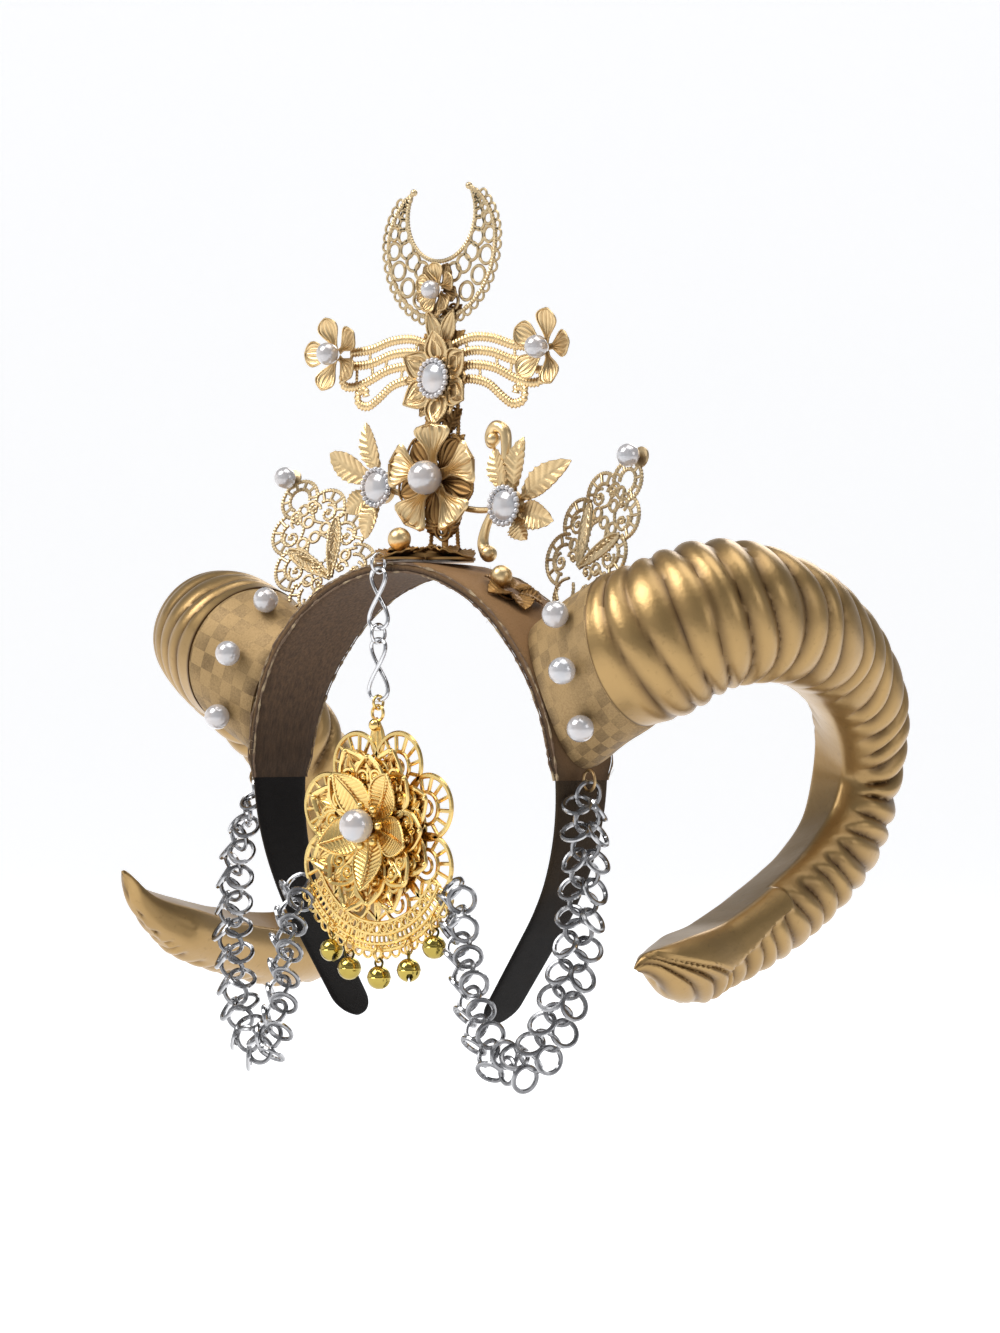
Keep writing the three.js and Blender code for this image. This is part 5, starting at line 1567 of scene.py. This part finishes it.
def medallion_scrolls():
    """Middle layer of the medallion: two rows of scroll cups, the rear one wider and turned half a step."""
    one = scroll_cup()
    wide = shifted(stretched(one, 1.05, 1.16), height=-1.4)
    return cupped(join(around(one, MEDALLION_LOBES), around(wide, MEDALLION_LOBES, 22.5)), 0.004)


def medallion_flower():
    """Top flower: five large pointed petals with fine cross ribs and raised rims, and two rings of balls."""
    form = Form(peak=0.46, fullness=0.85, root=0.35, rise=5.4, cup=0.1)
    petals = around(petal(3, 18.6, 13, form, bars=13, bar=0.2, slant=0.2, thick=0.6), 5, 36)
    rims = around(petal_rim(3, 18.6, 13, 0.45, form), 5, 36)
    keel = around(tube(np.array([(0, 4, 0.9), (0, 12, 1.9), (0, 20.5, 5.5)]), (0.5, 0.4, 0.2)), 5, 36)
    stamens = balls(flat(ring_path((0, 0), 6.9, 7), 3.6), 1.45, (10, 14))
    # The stalk balls get painted shade under the stamens.
    stalks = balls(flat(ring_path((0, 0), 4.6, 7), 1.9), 1.2, BEAD_GRID, 0.5)
    return join(petals, rims, keel, stamens, stalks)


def bell_shell():
    """A bell: a ball with a raised seam, a slot across its foot between two round holes, and a wire eye."""
    direction = sphere_grid(60, 88)
    x, y, z = np.moveaxis(direction * BELL_RADIUS, -1, 0)
    hole = np.hypot(np.abs(x) - BELL_HOLE_OFFSET, y) + 2 * np.maximum(z + 1.2, 0) - BELL_HOLE_RADIUS
    slot = np.where((z < 0) & (np.abs(x) < BELL_HOLE_OFFSET), np.abs(y) - BELL_SLOT_HALF, 9)
    open_share = smoothstep(0.16, -0.06, np.minimum(hole, slot))
    seam = 0.16 * np.exp(-((z / 0.22) ** 2))
    reach = BELL_RADIUS + seam - BELL_DEPTH * open_share
    # Painted shade: dark in the slot and holes, where the inside shows, and darker on the lower half.
    tone = np.clip(1.6 * open_share + 0.25 * (z < 0), 0, 1)
    poles = ((0, 0, -BELL_RADIUS + BELL_DEPTH), (0, 0, BELL_RADIUS))
    turn = angles(24)
    height = BELL_RADIUS + 0.9 + BELL_EYE_RADIUS * np.sin(turn)
    eye = np.stack([BELL_EYE_RADIUS * np.cos(turn), 0 * turn, height], -1)
    return join(loft(reach[..., None] * direction, tone, ends=poles), tube(eye, 0.42, normal=BACK, wrap=True))


# Chain-mail


def mail_shell(name, sign, size, rng):
    """A mail strip of four-in-one rings: pairs side by side and single rings between, all leaning."""
    route = MAIL_ROUTE[:, [0, 1, 2, 3 if name == "right" else 4]] * (sign, 1, 1, 1)
    line = spline(route, count=1200)
    run = run_of(line)
    rows = round(run[-1] / MAIL_PITCH)
    pitch = run[-1] / rows
    single = np.arange(rows + 1) * pitch
    pair = np.repeat((np.arange(rows) + 0.5) * pitch, 2)
    at = np.concatenate([single, pair])
    offset = np.concatenate([0 * single, np.tile((-size.mail_half / MM, size.mail_half / MM), rows)])
    lean = np.concatenate([np.full(rows + 1, SINGLE_LEAN), np.full(2 * rows, PAIR_LEAN)])
    lean = np.radians(lean + rng.normal(0, 5, len(at)))[:, None]
    splay = np.radians(np.sign(offset) * PAIR_SPLAY + rng.normal(0, 6, len(at)))[:, None]
    along = unit(at_lengths(at, run, unit(np.gradient(line[:, :3], axis=0))))
    bearing = np.radians(np.interp(at, run, line[:, 3]))
    face = np.stack([np.sin(bearing), -np.cos(bearing), 0 * bearing], -1)
    across = unit(np.cross(face, along))
    face = np.cross(along, across)
    center = at_lengths(at, run, line[:, :3])
    center = center + across * offset[:, None] + rng.normal(0, 0.12, center.shape)
    tipped = np.cos(lean) * along + np.sin(lean) * face
    sideways = np.cos(splay) * across + np.sin(splay) * np.cross(across, tipped)
    one = tube(flat(ring_path((0, 0), size.mail_ring / MM)), size.mail_wire / MM, wrap=True, sides=7)
    return repeated(one, np.stack([sideways, tipped, np.cross(sideways, tipped)], 1), center)


# Settings


def length_property(name, description, default):
    """A length in metres."""
    options = {"min": 0, "unit": "LENGTH", "precision": 5}
    return FloatProperty(name=name, description=description, default=default, **options)


def angle_property(name, description, degrees):
    """An angle."""
    return FloatProperty(name=name, description=description, default=np.radians(degrees), subtype="ANGLE")


def color_property(name, description, default):
    """A colour."""
    options = {"subtype": "COLOR", "min": 0, "max": 1}
    return FloatVectorProperty(name=name, description=description, default=default, **options)


class HornSizes(bpy.types.PropertyGroup):
    """Ribs of the horns."""

    rib_pitch: length_property("Rib pitch", "Rib spacing along the centre line near the tip", 0.009)
    rib_depth: length_property("Rib depth", "Groove depth where the horn is 32 mm thick", 0.0019)
    rib_slant: FloatProperty(
        name="Rib slant",
        description="Ribs that a groove leans from inside to outside",
        default=1.1,
    )
    smooth_start: length_property("Smooth start", "Length after the seam without ribs", 0.0085)


class TrimSizes(bpy.types.PropertyGroup):
    """Wires, cloth and chains."""

    wire: length_property("Filigree wire", "Radius of the filigree's milled wire", 0.00055)
    check: length_property("Check", "Width of a check of the cuffs' cloth", 0.0046)
    mail_ring: length_property("Mail ring", "Radius of a mail ring at the middle of its wire", 0.00435)
    mail_wire: length_property("Mail wire", "Radius of the mail's wire", 0.00084)
    mail_half: length_property("Mail half width", "Distance of a paired ring from the middle line", 0.0039)
    fibers: IntProperty(name="Fibres", description="Loose fibres at the band's edges", default=220, min=1)


class Colors(bpy.types.PropertyGroup):
    """Colours of the finishes."""

    horn_light: color_property("Horn", "Gold paint on the ribs", (0.4, 0.256, 0.1))
    # Painted shade in the horns' grooves, on the inner face and at the seam; also the colour of the dark
    # specks.
    horn_shade_and_specks: color_property("Horn grooves", "Brown in the grooves", (0.075, 0.037, 0.012))
    cuff_light: color_property("Cuff", "Light checks", (0.39, 0.258, 0.112))
    # The dark checks; also the painted shade on the cuffs' inner walls and their darker ends and bottom.
    cuff_dark: color_property("Cuff checks", "Dark checks", (0.1, 0.058, 0.022))
    band_bronze: color_property("Band outside", "Bronze cloth", (0.27, 0.15, 0.064))
    band_suede: color_property("Band inside", "Suede", (0.122, 0.07, 0.037))
    # Black velvet; also the painted shade along the cover's edges.
    band_black: color_property("Band black", "Velvet", (0.006, 0.005, 0.0045))
    band_rubbed: color_property("Band rubbed", "Rubbed velvet", (0.055, 0.035, 0.018))
    band_thread: color_property("Edge thread", "Frayed thread", (0.36, 0.27, 0.16))
    pale_gold: color_property("Pale gold", "Flowers, sprigs and cross bar", (0.78, 0.58, 0.31))
    # The darker gold colours are painted shade in hollows, underneath and on layers behind.
    pale_gold_shade: color_property("Pale gold hollows", "Antique shade", (0.20, 0.105, 0.035))
    champagne: color_property("Lace wire", "Crescent and side panels", (0.64, 0.5, 0.3))
    champagne_shade: color_property("Lace wire hollows", "Grey brown hollows", (0.19, 0.125, 0.06))
    antique_gold: color_property("Antique gold", "Column and base leaves", (0.46, 0.27, 0.10))
    antique_shade: color_property("Antique hollows", "Brown hollows", (0.075, 0.03, 0.01))
    bright_gold: color_property("Bright gold", "Medallion", (0.83, 0.61, 0.235))
    bright_gold_shade: color_property("Bright gold hollows", "Deep orange hollows", (0.62, 0.3, 0.055))
    brass: color_property("Bell brass", "Bells", (0.55, 0.42, 0.1))
    # Painted shade in the bells' slots and holes and on their lower halves.
    brass_shade: color_property("Bell slots", "Dark inside of bells", (0.03, 0.022, 0.004))
    steel_light: color_property("Steel", "Wire", (0.7, 0.7, 0.71))
    # Painted shade on one side of the steel wire.
    steel_shade: color_property("Steel dark", "Wire in the joints", (0.1, 0.1, 0.105))
    pearl_white: color_property("Pearl", "Pearl body", (0.56, 0.535, 0.51))
    pearl_rose: color_property("Pearl rose", "Rose cloud", (0.56, 0.485, 0.46))
    pearl_blue: color_property("Pearl blue", "Blue cloud", (0.46, 0.48, 0.53))
    paper: color_property("Paper", "Studio paper", (0.62, 0.625, 0.64))
    paper_cool: color_property("Paper shade", "Cool mottle", (0.60, 0.61, 0.635))


class StageSizes(bpy.types.PropertyGroup):
    """Camera and light."""

    azimuth: angle_property("Azimuth", "Camera bearing from the front", 43)
    elevation: angle_property("Elevation", "Camera height angle", -1)
    distance: length_property("Distance", "Camera distance from its aim", 1.3)
    lens: FloatProperty(name="Lens", description="Focal length in mm on a 36 mm frame", default=102.2)
    aim: FloatVectorProperty(
        name="Aim",
        description="Point at the picture's centre",
        default=(0.0185, 0.018, -0.0314),
        subtype="TRANSLATION",
    )
    world: FloatProperty(name="Room light", description="Strength of the even room light", default=0.22)


class HeadbandSettings(bpy.types.PropertyGroup):
    """All settings of the headband."""

    horn: PointerProperty(type=HornSizes)
    trim: PointerProperty(type=TrimSizes)
    colors: PointerProperty(type=Colors)
    stage: PointerProperty(type=StageSizes)


# Stage

# Paper and light, in metres: flat part of the floor, radius of its bend, drop below the part, lamps' aim.
FLOOR_RADIUS = 3.2
BOWL_RADIUS = 2.4
FLOOR_DROP = 0.06
LAMP_AIM = Vector((0, 0, -0.03))
ROOM_COLOR = (0.95, 0.97, 1.0, 1)

# Width of the camera's frame, in mm.
SENSOR_WIDTH = 36

# Name, place, size and power of each lamp.
LAMPS = (
    ("key", (-0.55, -1.3, 1.5), 1.2, 36.0),
    ("top", (0.5, 0.1, 2.1), 1.7, 26.0),
    ("fill", (1.9, 0.3, 0.5), 0.8, 4.0),
    ("back", (-0.6, 1.7, 1.2), 1.0, 10.0),
)


def paper_bowl():
    """The paper: a flat disc below the part that curves up into a wall all round, with a small thickness."""
    bend = np.linspace(0.05, np.pi / 2, 20)
    radius = np.concatenate([np.linspace(0.05, FLOOR_RADIUS, 20), FLOOR_RADIUS + BOWL_RADIUS * np.sin(bend)])
    rise = np.concatenate([np.zeros(20), BOWL_RADIUS * (1 - np.cos(bend))])
    height = CAD_BOX[0][2] - FLOOR_DROP + rise[:, None, None]
    circles = radius[:, None, None] * rays(angles(96))
    top = np.concatenate([circles, np.broadcast_to(height, (*circles.shape[:2], 1))], -1)
    under = top[::-1] * (1.01, 1.01, 1) - (0, 0, 0.03)
    return loft(np.concatenate([top, under]) / MM)


def add_lamp(scene, name, place, size, power):
    """A square lamp that looks at the part."""
    light = bpy.data.lights.new(name, "AREA")
    light.size = size
    light.energy = power
    lamp = bpy.data.objects.new(name, light)
    lamp.location = place
    lamp.rotation_euler = (LAMP_AIM - lamp.location).to_track_quat("-Z", "Y").to_euler()
    scene.collection.objects.link(lamp)


def add_camera(scene, stage):
    """The camera at its bearing and distance from the aim."""
    camera = bpy.data.cameras.new("camera")
    camera.lens = stage.lens
    camera.sensor_width = SENSOR_WIDTH
    camera.clip_start = 0.01
    eye = bpy.data.objects.new("camera", camera)
    a, e = stage.azimuth, stage.elevation
    back = Vector((np.sin(a) * np.cos(e), -np.cos(a) * np.cos(e), np.sin(e)))
    eye.location = Vector(stage.aim) + back * stage.distance
    eye.rotation_euler = back.to_track_quat("Z", "Y").to_euler()
    scene.collection.objects.link(eye)
    scene.camera = eye


# Operators


class HEADBAND_OT_stage(bpy.types.Operator):
    """Builds the paper bowl, the lights and the camera"""

    bl_idname = "headband.stage"
    bl_label = "Stage"

    def execute(self, context):
        scene = context.scene
        stage = settings().stage
        floor = add_mesh("paper_floor", paper_bowl(), "floor_paper")
        scene.world = bpy.data.worlds.new("room")
        scene.world.use_nodes = True
        room = scene.world.node_tree.nodes["Background"]
        room.inputs["Color"].default_value = ROOM_COLOR
        room.inputs["Strength"].default_value = stage.world
        for lamp in LAMPS:
            add_lamp(scene, *lamp)
        add_camera(scene, stage)
        scene.view_settings.view_transform = "Standard"
        return {"FINISHED"}


class HEADBAND_OT_band(bpy.types.Operator):
    """Builds the cover, the velvet strip and the frayed edges"""

    bl_idname = "headband.band"
    bl_label = "Band"

    def execute(self, context):
        rng = np.random.default_rng(BAND_SEED)
        shell, outside = strip_shell(np.linspace(-QUARTER, QUARTER, 150), COVER_EXTRA, COVER_LIFT)
        drop = smoothstep(0.35, 1.15, np.abs(shell.points[:, 2]) / -ARCH_Z) * 0.75
        marks = {"outside": outside, "drop": drop}
        add_piece("band_cover_cloth", shell, "band_cloth", "band_cover", attributes=marks)
        straight = HALF_LENGTH - ROUND_END
        lengths = np.concatenate([
            np.linspace(-HALF_LENGTH, -straight, 24)[:-1],
            np.linspace(-straight, straight, 180),
            np.linspace(straight, HALF_LENGTH, 24)[1:],
        ])
        shell, outside = strip_shell(lengths, 0, 1.0)
        marks = {"outside": outside, "drop": smoothstep(-70, -135, shell.points[:, 2])}
        add_piece("band_velvet", shell, "velvet", "headband_core", attributes=marks)
        lengths = np.linspace(-QUARTER, QUARTER, 460)
        threads = [edge_line(lengths, edge, layer, rng) for edge in (-1, 1) for layer in (-1, 1)]
        threads.append(fibers(settings().trim.fibers, rng))
        add_piece("band_edge_threads", join(*threads), "edge_thread")
        return {"FINISHED"}


class HEADBAND_OT_cuffs(bpy.types.Operator):
    """Builds the checked cloth cuffs"""

    bl_idname = "headband.cuffs"
    bl_label = "Cuffs"

    def execute(self, context):
        for name, sign in SIDES:
            shell, places = cuff_shell(sign)
            made = add_piece(f"cuff_cloth_{name}", shell, "cuff_cloth", f"cuff_{name}")
            add_weave_map(made, places, settings().trim.check / MM)
        return {"FINISHED"}


class HEADBAND_OT_horns(bpy.types.Operator):
    """Builds the ribbed horns"""

    bl_idname = "headband.horns"
    bl_label = "Horns"

    def execute(self, context):
        for name, sign in SIDES:
            shell = horn_shell(name, sign, settings().horn)
            add_piece(f"horn_ribbed_{name}", shell, "horn_paint", f"horn_{name}")
        return {"FINISHED"}


class HEADBAND_OT_pearls(bpy.types.Operator):
    """Builds the pearls and the domed stones with their bead rims"""

    bl_idname = "headband.pearls"
    bl_label = "Pearls"

    def execute(self, context):
        round_nodes = [f"cuff_pearl_{name}_{i}" for name, _ in SIDES for i in (1, 2, 3)]
        round_nodes += ["crescent_pearl", "big_pearl", "medallion_pearl"]
        round_nodes += [f"{kind}_{name}" for kind in ("wing_pearl", "side_pearl") for name, _ in SIDES]
        for node in round_nodes:
            low, high = node_box(node)
            shell = balls([(low + high) / 2], (high - low).max() / 2, PEARL_GRID, 0.0)
            add_piece(f"{node}_round", shell, "pearl", node)
        dome = shifted(stretched(balls((0, 0, 0), 1.0, STONE_GRID, 0.0), *STONE_HALF_SIZE), height=0.9)
        beads = balls(flat(ring_path((0, 0), STONE_RIM, 20), 1.9), 1.02, BEAD_GRID, 0.0)
        for node in ("center_cabochon", "sprig_cabochon_left", "sprig_cabochon_right"):
            low, high = node_box(node)
            x, _, z = (low + high) / 2
            add_piece(f"{node}_stone", put(join(dome, beads), front_place(x, high[1], z)), "pearl", node)
        return {"FINISHED"}


class HEADBAND_OT_crown(bpy.types.Operator):
    """Builds the column, the crescent and its flower"""

    bl_idname = "headband.crown"
    bl_label = "Column and crescent"

    def execute(self, context):
        wire = settings().trim.wire / MM
        column = put(column_shell(wire), front_place(0, COLUMN_Y + 0.7, 0))
        add_piece("column_filigree", column, "antique_gold", "column_strip")
        crescent = put(crescent_shell(wire), front_place(0, ORNAMENT_Y - 0.6, 0))
        add_piece("crescent_lace", crescent, "champagne", "crescent")
        z = node_middle("crescent_flower")[2]
        flower = put(small_flower(9.0, 6.4, 2), front_place(0, SMALL_FLOWER_Y, z))
        add_piece("crescent_blossom", flower, "pale_gold", "crescent_flower")
        return {"FINISHED"}


class HEADBAND_OT_wing(bpy.types.Operator):
    """Builds the cross bar with its flowers"""

    bl_idname = "headband.wing"
    bl_label = "Cross bar"

    def execute(self, context):
        place = front_place(0, ORNAMENT_Y - 0.3, WING_Z, WING_TILT)
        add_piece("wing_filigree", put(wing_shell(settings().trim.wire / MM), place), "pale_gold", "wing_bar")
        for name, sign in SIDES:
            x, _, z = node_middle(f"wing_pearl_{name}")
            flower = put(small_flower(13.2, 8.8), front_place(x, SMALL_FLOWER_Y, z, sign * WING_FLOWER_TURN))
            add_piece(f"wing_blossom_{name}", flower, "pale_gold", f"wing_flower_{name}")
        z = node_middle("center_cabochon")[2]
        flower = put(pointed_flower(), front_place(0, SMALL_FLOWER_Y, z))
        add_piece("center_blossom", flower, "pale_gold", "center_flower")
        return {"FINISHED"}


class HEADBAND_OT_sprigs(bpy.types.Operator):
    """Builds the big flower and the leaf sprigs"""

    bl_idname = "headband.sprigs"
    bl_label = "Sprigs"

    def execute(self, context):
        z = node_middle("big_pearl")[2]
        front = put(fan_flower(), front_place(0, FLOWER_Y - 3.4, z, yaw=BIG_FLOWER_YAW))
        add_piece("big_blossom", front, "pale_gold", "big_flower")
        back = put(fan_flower_back(), front_place(0, FLOWER_Y - 1.5, z, yaw=BIG_FLOWER_YAW))
        # The back layer takes the darker antique gold as painted shade behind the front petals.
        add_piece("big_blossom_back", back, "antique_gold")
        for name, _ in SIDES:
            sprig = put(sprig_shell(name), front_place(0, ORNAMENT_Y, 0))
            add_piece(f"sprig_leaves_{name}", sprig, "pale_gold", f"sprig_{name}")
        return {"FINISHED"}


class HEADBAND_OT_base(bpy.types.Operator):
    """Builds the leaf plates and gold beads on the band"""

    bl_idname = "headband.base"
    bl_label = "Base plates"

    def execute(self, context):
        low, _ = node_box("base_plate")
        place = band_place(0, low[2] - ARCH_Z)
        add_piece("base_leaves", put(base_shell(), place), "antique_gold", "base_plate")
        add_piece("base_bead", put(balls(*BASE_BEAD, GOLD_BALL_GRID), place), "pale_gold")
        leaves = panel_base_shell()
        bead = balls(*PANEL_BEAD, GOLD_BALL_GRID)
        for name, sign in SIDES:
            place = band_place(sign * PANEL_BASE_ANGLE, COVER_TOP + GAP)
            add_piece(f"panel_base_leaves_{name}", put(leaves, place), "antique_gold", f"panel_base_{name}")
            add_piece(f"panel_base_bead_{name}", put(bead, place), "pale_gold")
        return {"FINISHED"}


class HEADBAND_OT_panels(bpy.types.Operator):
    """Builds the filigree leaves at the sides"""

    bl_idname = "headband.panels"
    bl_label = "Side panels"

    def execute(self, context):
        shell = panel_shell(settings().trim.wire / MM * 1.2)
        for name, sign in SIDES:
            panel = put(shell, panel_place(sign))
            add_piece(f"side_filigree_{name}", panel, "champagne", f"side_panel_{name}")
        return {"FINISHED"}


class HEADBAND_OT_pendant(bpy.types.Operator):
    """Builds the chain that the medallion hangs on"""

    bl_idname = "headband.pendant"
    bl_label = "Pendant chain"

    def execute(self, context):
        link = figure_eight(LINK_HEIGHT, LINK_HALF_WIDTH, LINK_WIRE)
        for node in ("pendant_link_upper", "pendant_link_lower"):
            add_piece(f"{node}_wire", put(link, front_place(*node_middle(node))), "steel_wire", node)
        for level, wire, finish in PENDANT_RINGS:
            node = f"pendant_ring_{level}"
            add_piece(f"{node}_wire", node_ring(node, wire), finish, node)
        return {"FINISHED"}


class HEADBAND_OT_medallion(bpy.types.Operator):
    """Builds the layers of the medallion"""

    bl_idname = "headband.medallion"
    bl_label = "Medallion"

    def execute(self, context):
        back = put(medallion_back(), front_place(0, MEDALLION_Y, MEDALLION_Z))
        add_piece("medallion_fans", back, "bright_gold", "medallion_back")
        middle = put(medallion_scrolls(), front_place(0, MEDALLION_Y - 1.7, MEDALLION_Z + 2))
        add_piece("medallion_scrolls", middle, "bright_gold", "medallion_mid")
        z = node_middle("medallion_pearl")[2]
        flower = put(medallion_flower(), front_place(0, MEDALLION_Y - 3.6, z))
        add_piece("medallion_blossom", flower, "bright_gold", "medallion_flower")
        return {"FINISHED"}


class HEADBAND_OT_bells(bpy.types.Operator):
    """Builds the bells and their rings"""

    bl_idname = "headband.bells"
    bl_label = "Bells"

    def execute(self, context):
        shell = bell_shell()
        for i, turn in enumerate(BELL_TURNS, 1):
            low, high = node_box(f"bell_{i}")
            x, y, _ = (low + high) / 2
            axes = np.array(((np.cos(turn), np.sin(turn), 0), (-np.sin(turn), np.cos(turn), 0), (0, 0, 1)))
            bell = put(shell, Place(np.array((x, y, low[2] + BELL_RADIUS)), axes))
            add_piece(f"bell_{i}_ball", bell, "bell_brass", f"bell_{i}")
            ring = node_ring(f"bell_ring_{i}", 0.45, (1, 0.35, 0))
            add_piece(f"bell_{i}_loop", ring, "bright_gold", f"bell_ring_{i}", slot="bell_brass")
        return {"FINISHED"}


class HEADBAND_OT_mail(bpy.types.Operator):
    """Builds the chain-mail strips and the gold rings that hold them"""

    bl_idname = "headband.mail"
    bl_label = "Chain-mail"

    def execute(self, context):
        rng = np.random.default_rng(MAIL_SEED)
        for name, sign in SIDES:
            shell = mail_shell(name, sign, settings().trim, rng)
            add_piece(f"mail_rings_{name}", shell, "steel_wire", f"mail_chain_{name}")
            ring = standing_ring(node_middle(f"chain_ring_{name}"), 3.4, 0.5, (0.25 * sign, 1, 0))
            add_piece(f"chain_loop_{name}", ring, "pale_gold", f"chain_ring_{name}")
        return {"FINISHED"}


PIECE_OPERATORS = (
    HEADBAND_OT_stage,
    HEADBAND_OT_band,
    HEADBAND_OT_cuffs,
    HEADBAND_OT_horns,
    HEADBAND_OT_pearls,
    HEADBAND_OT_crown,
    HEADBAND_OT_wing,
    HEADBAND_OT_sprigs,
    HEADBAND_OT_base,
    HEADBAND_OT_panels,
    HEADBAND_OT_pendant,
    HEADBAND_OT_medallion,
    HEADBAND_OT_bells,
    HEADBAND_OT_mail,
)


class HEADBAND_PT_panel(bpy.types.Panel):
    """Lists the headband's pieces and settings"""

    bl_label = "Ram Horn Headband"
    bl_idname = "HEADBAND_PT_panel"
    bl_space_type = "VIEW_3D"
    bl_region_type = "UI"
    bl_category = "Headband"

    def draw(self, context):
        for operator in PIECE_OPERATORS:
            self.layout.operator(operator.bl_idname)
        for group in (settings().horn, settings().trim, settings().colors, settings().stage):
            box = self.layout.box()
            for name in group.__annotations__:
                box.prop(group, name)


CLASSES = (HornSizes, TrimSizes, Colors, StageSizes, HeadbandSettings, *PIECE_OPERATORS, HEADBAND_PT_panel)


def register():
    for item in CLASSES:
        bpy.utils.register_class(item)
    bpy.types.Scene.horn_headband = PointerProperty(type=HeadbandSettings)


def unregister():
    del bpy.types.Scene.horn_headband
    for item in reversed(CLASSES):
        bpy.utils.unregister_class(item)


def main():
    """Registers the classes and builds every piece."""
    register()
    for operator in PIECE_OPERATORS:
        group, name = operator.bl_idname.split(".")
        getattr(getattr(bpy.ops, group), name)()


if __name__ == "__main__":
    main()
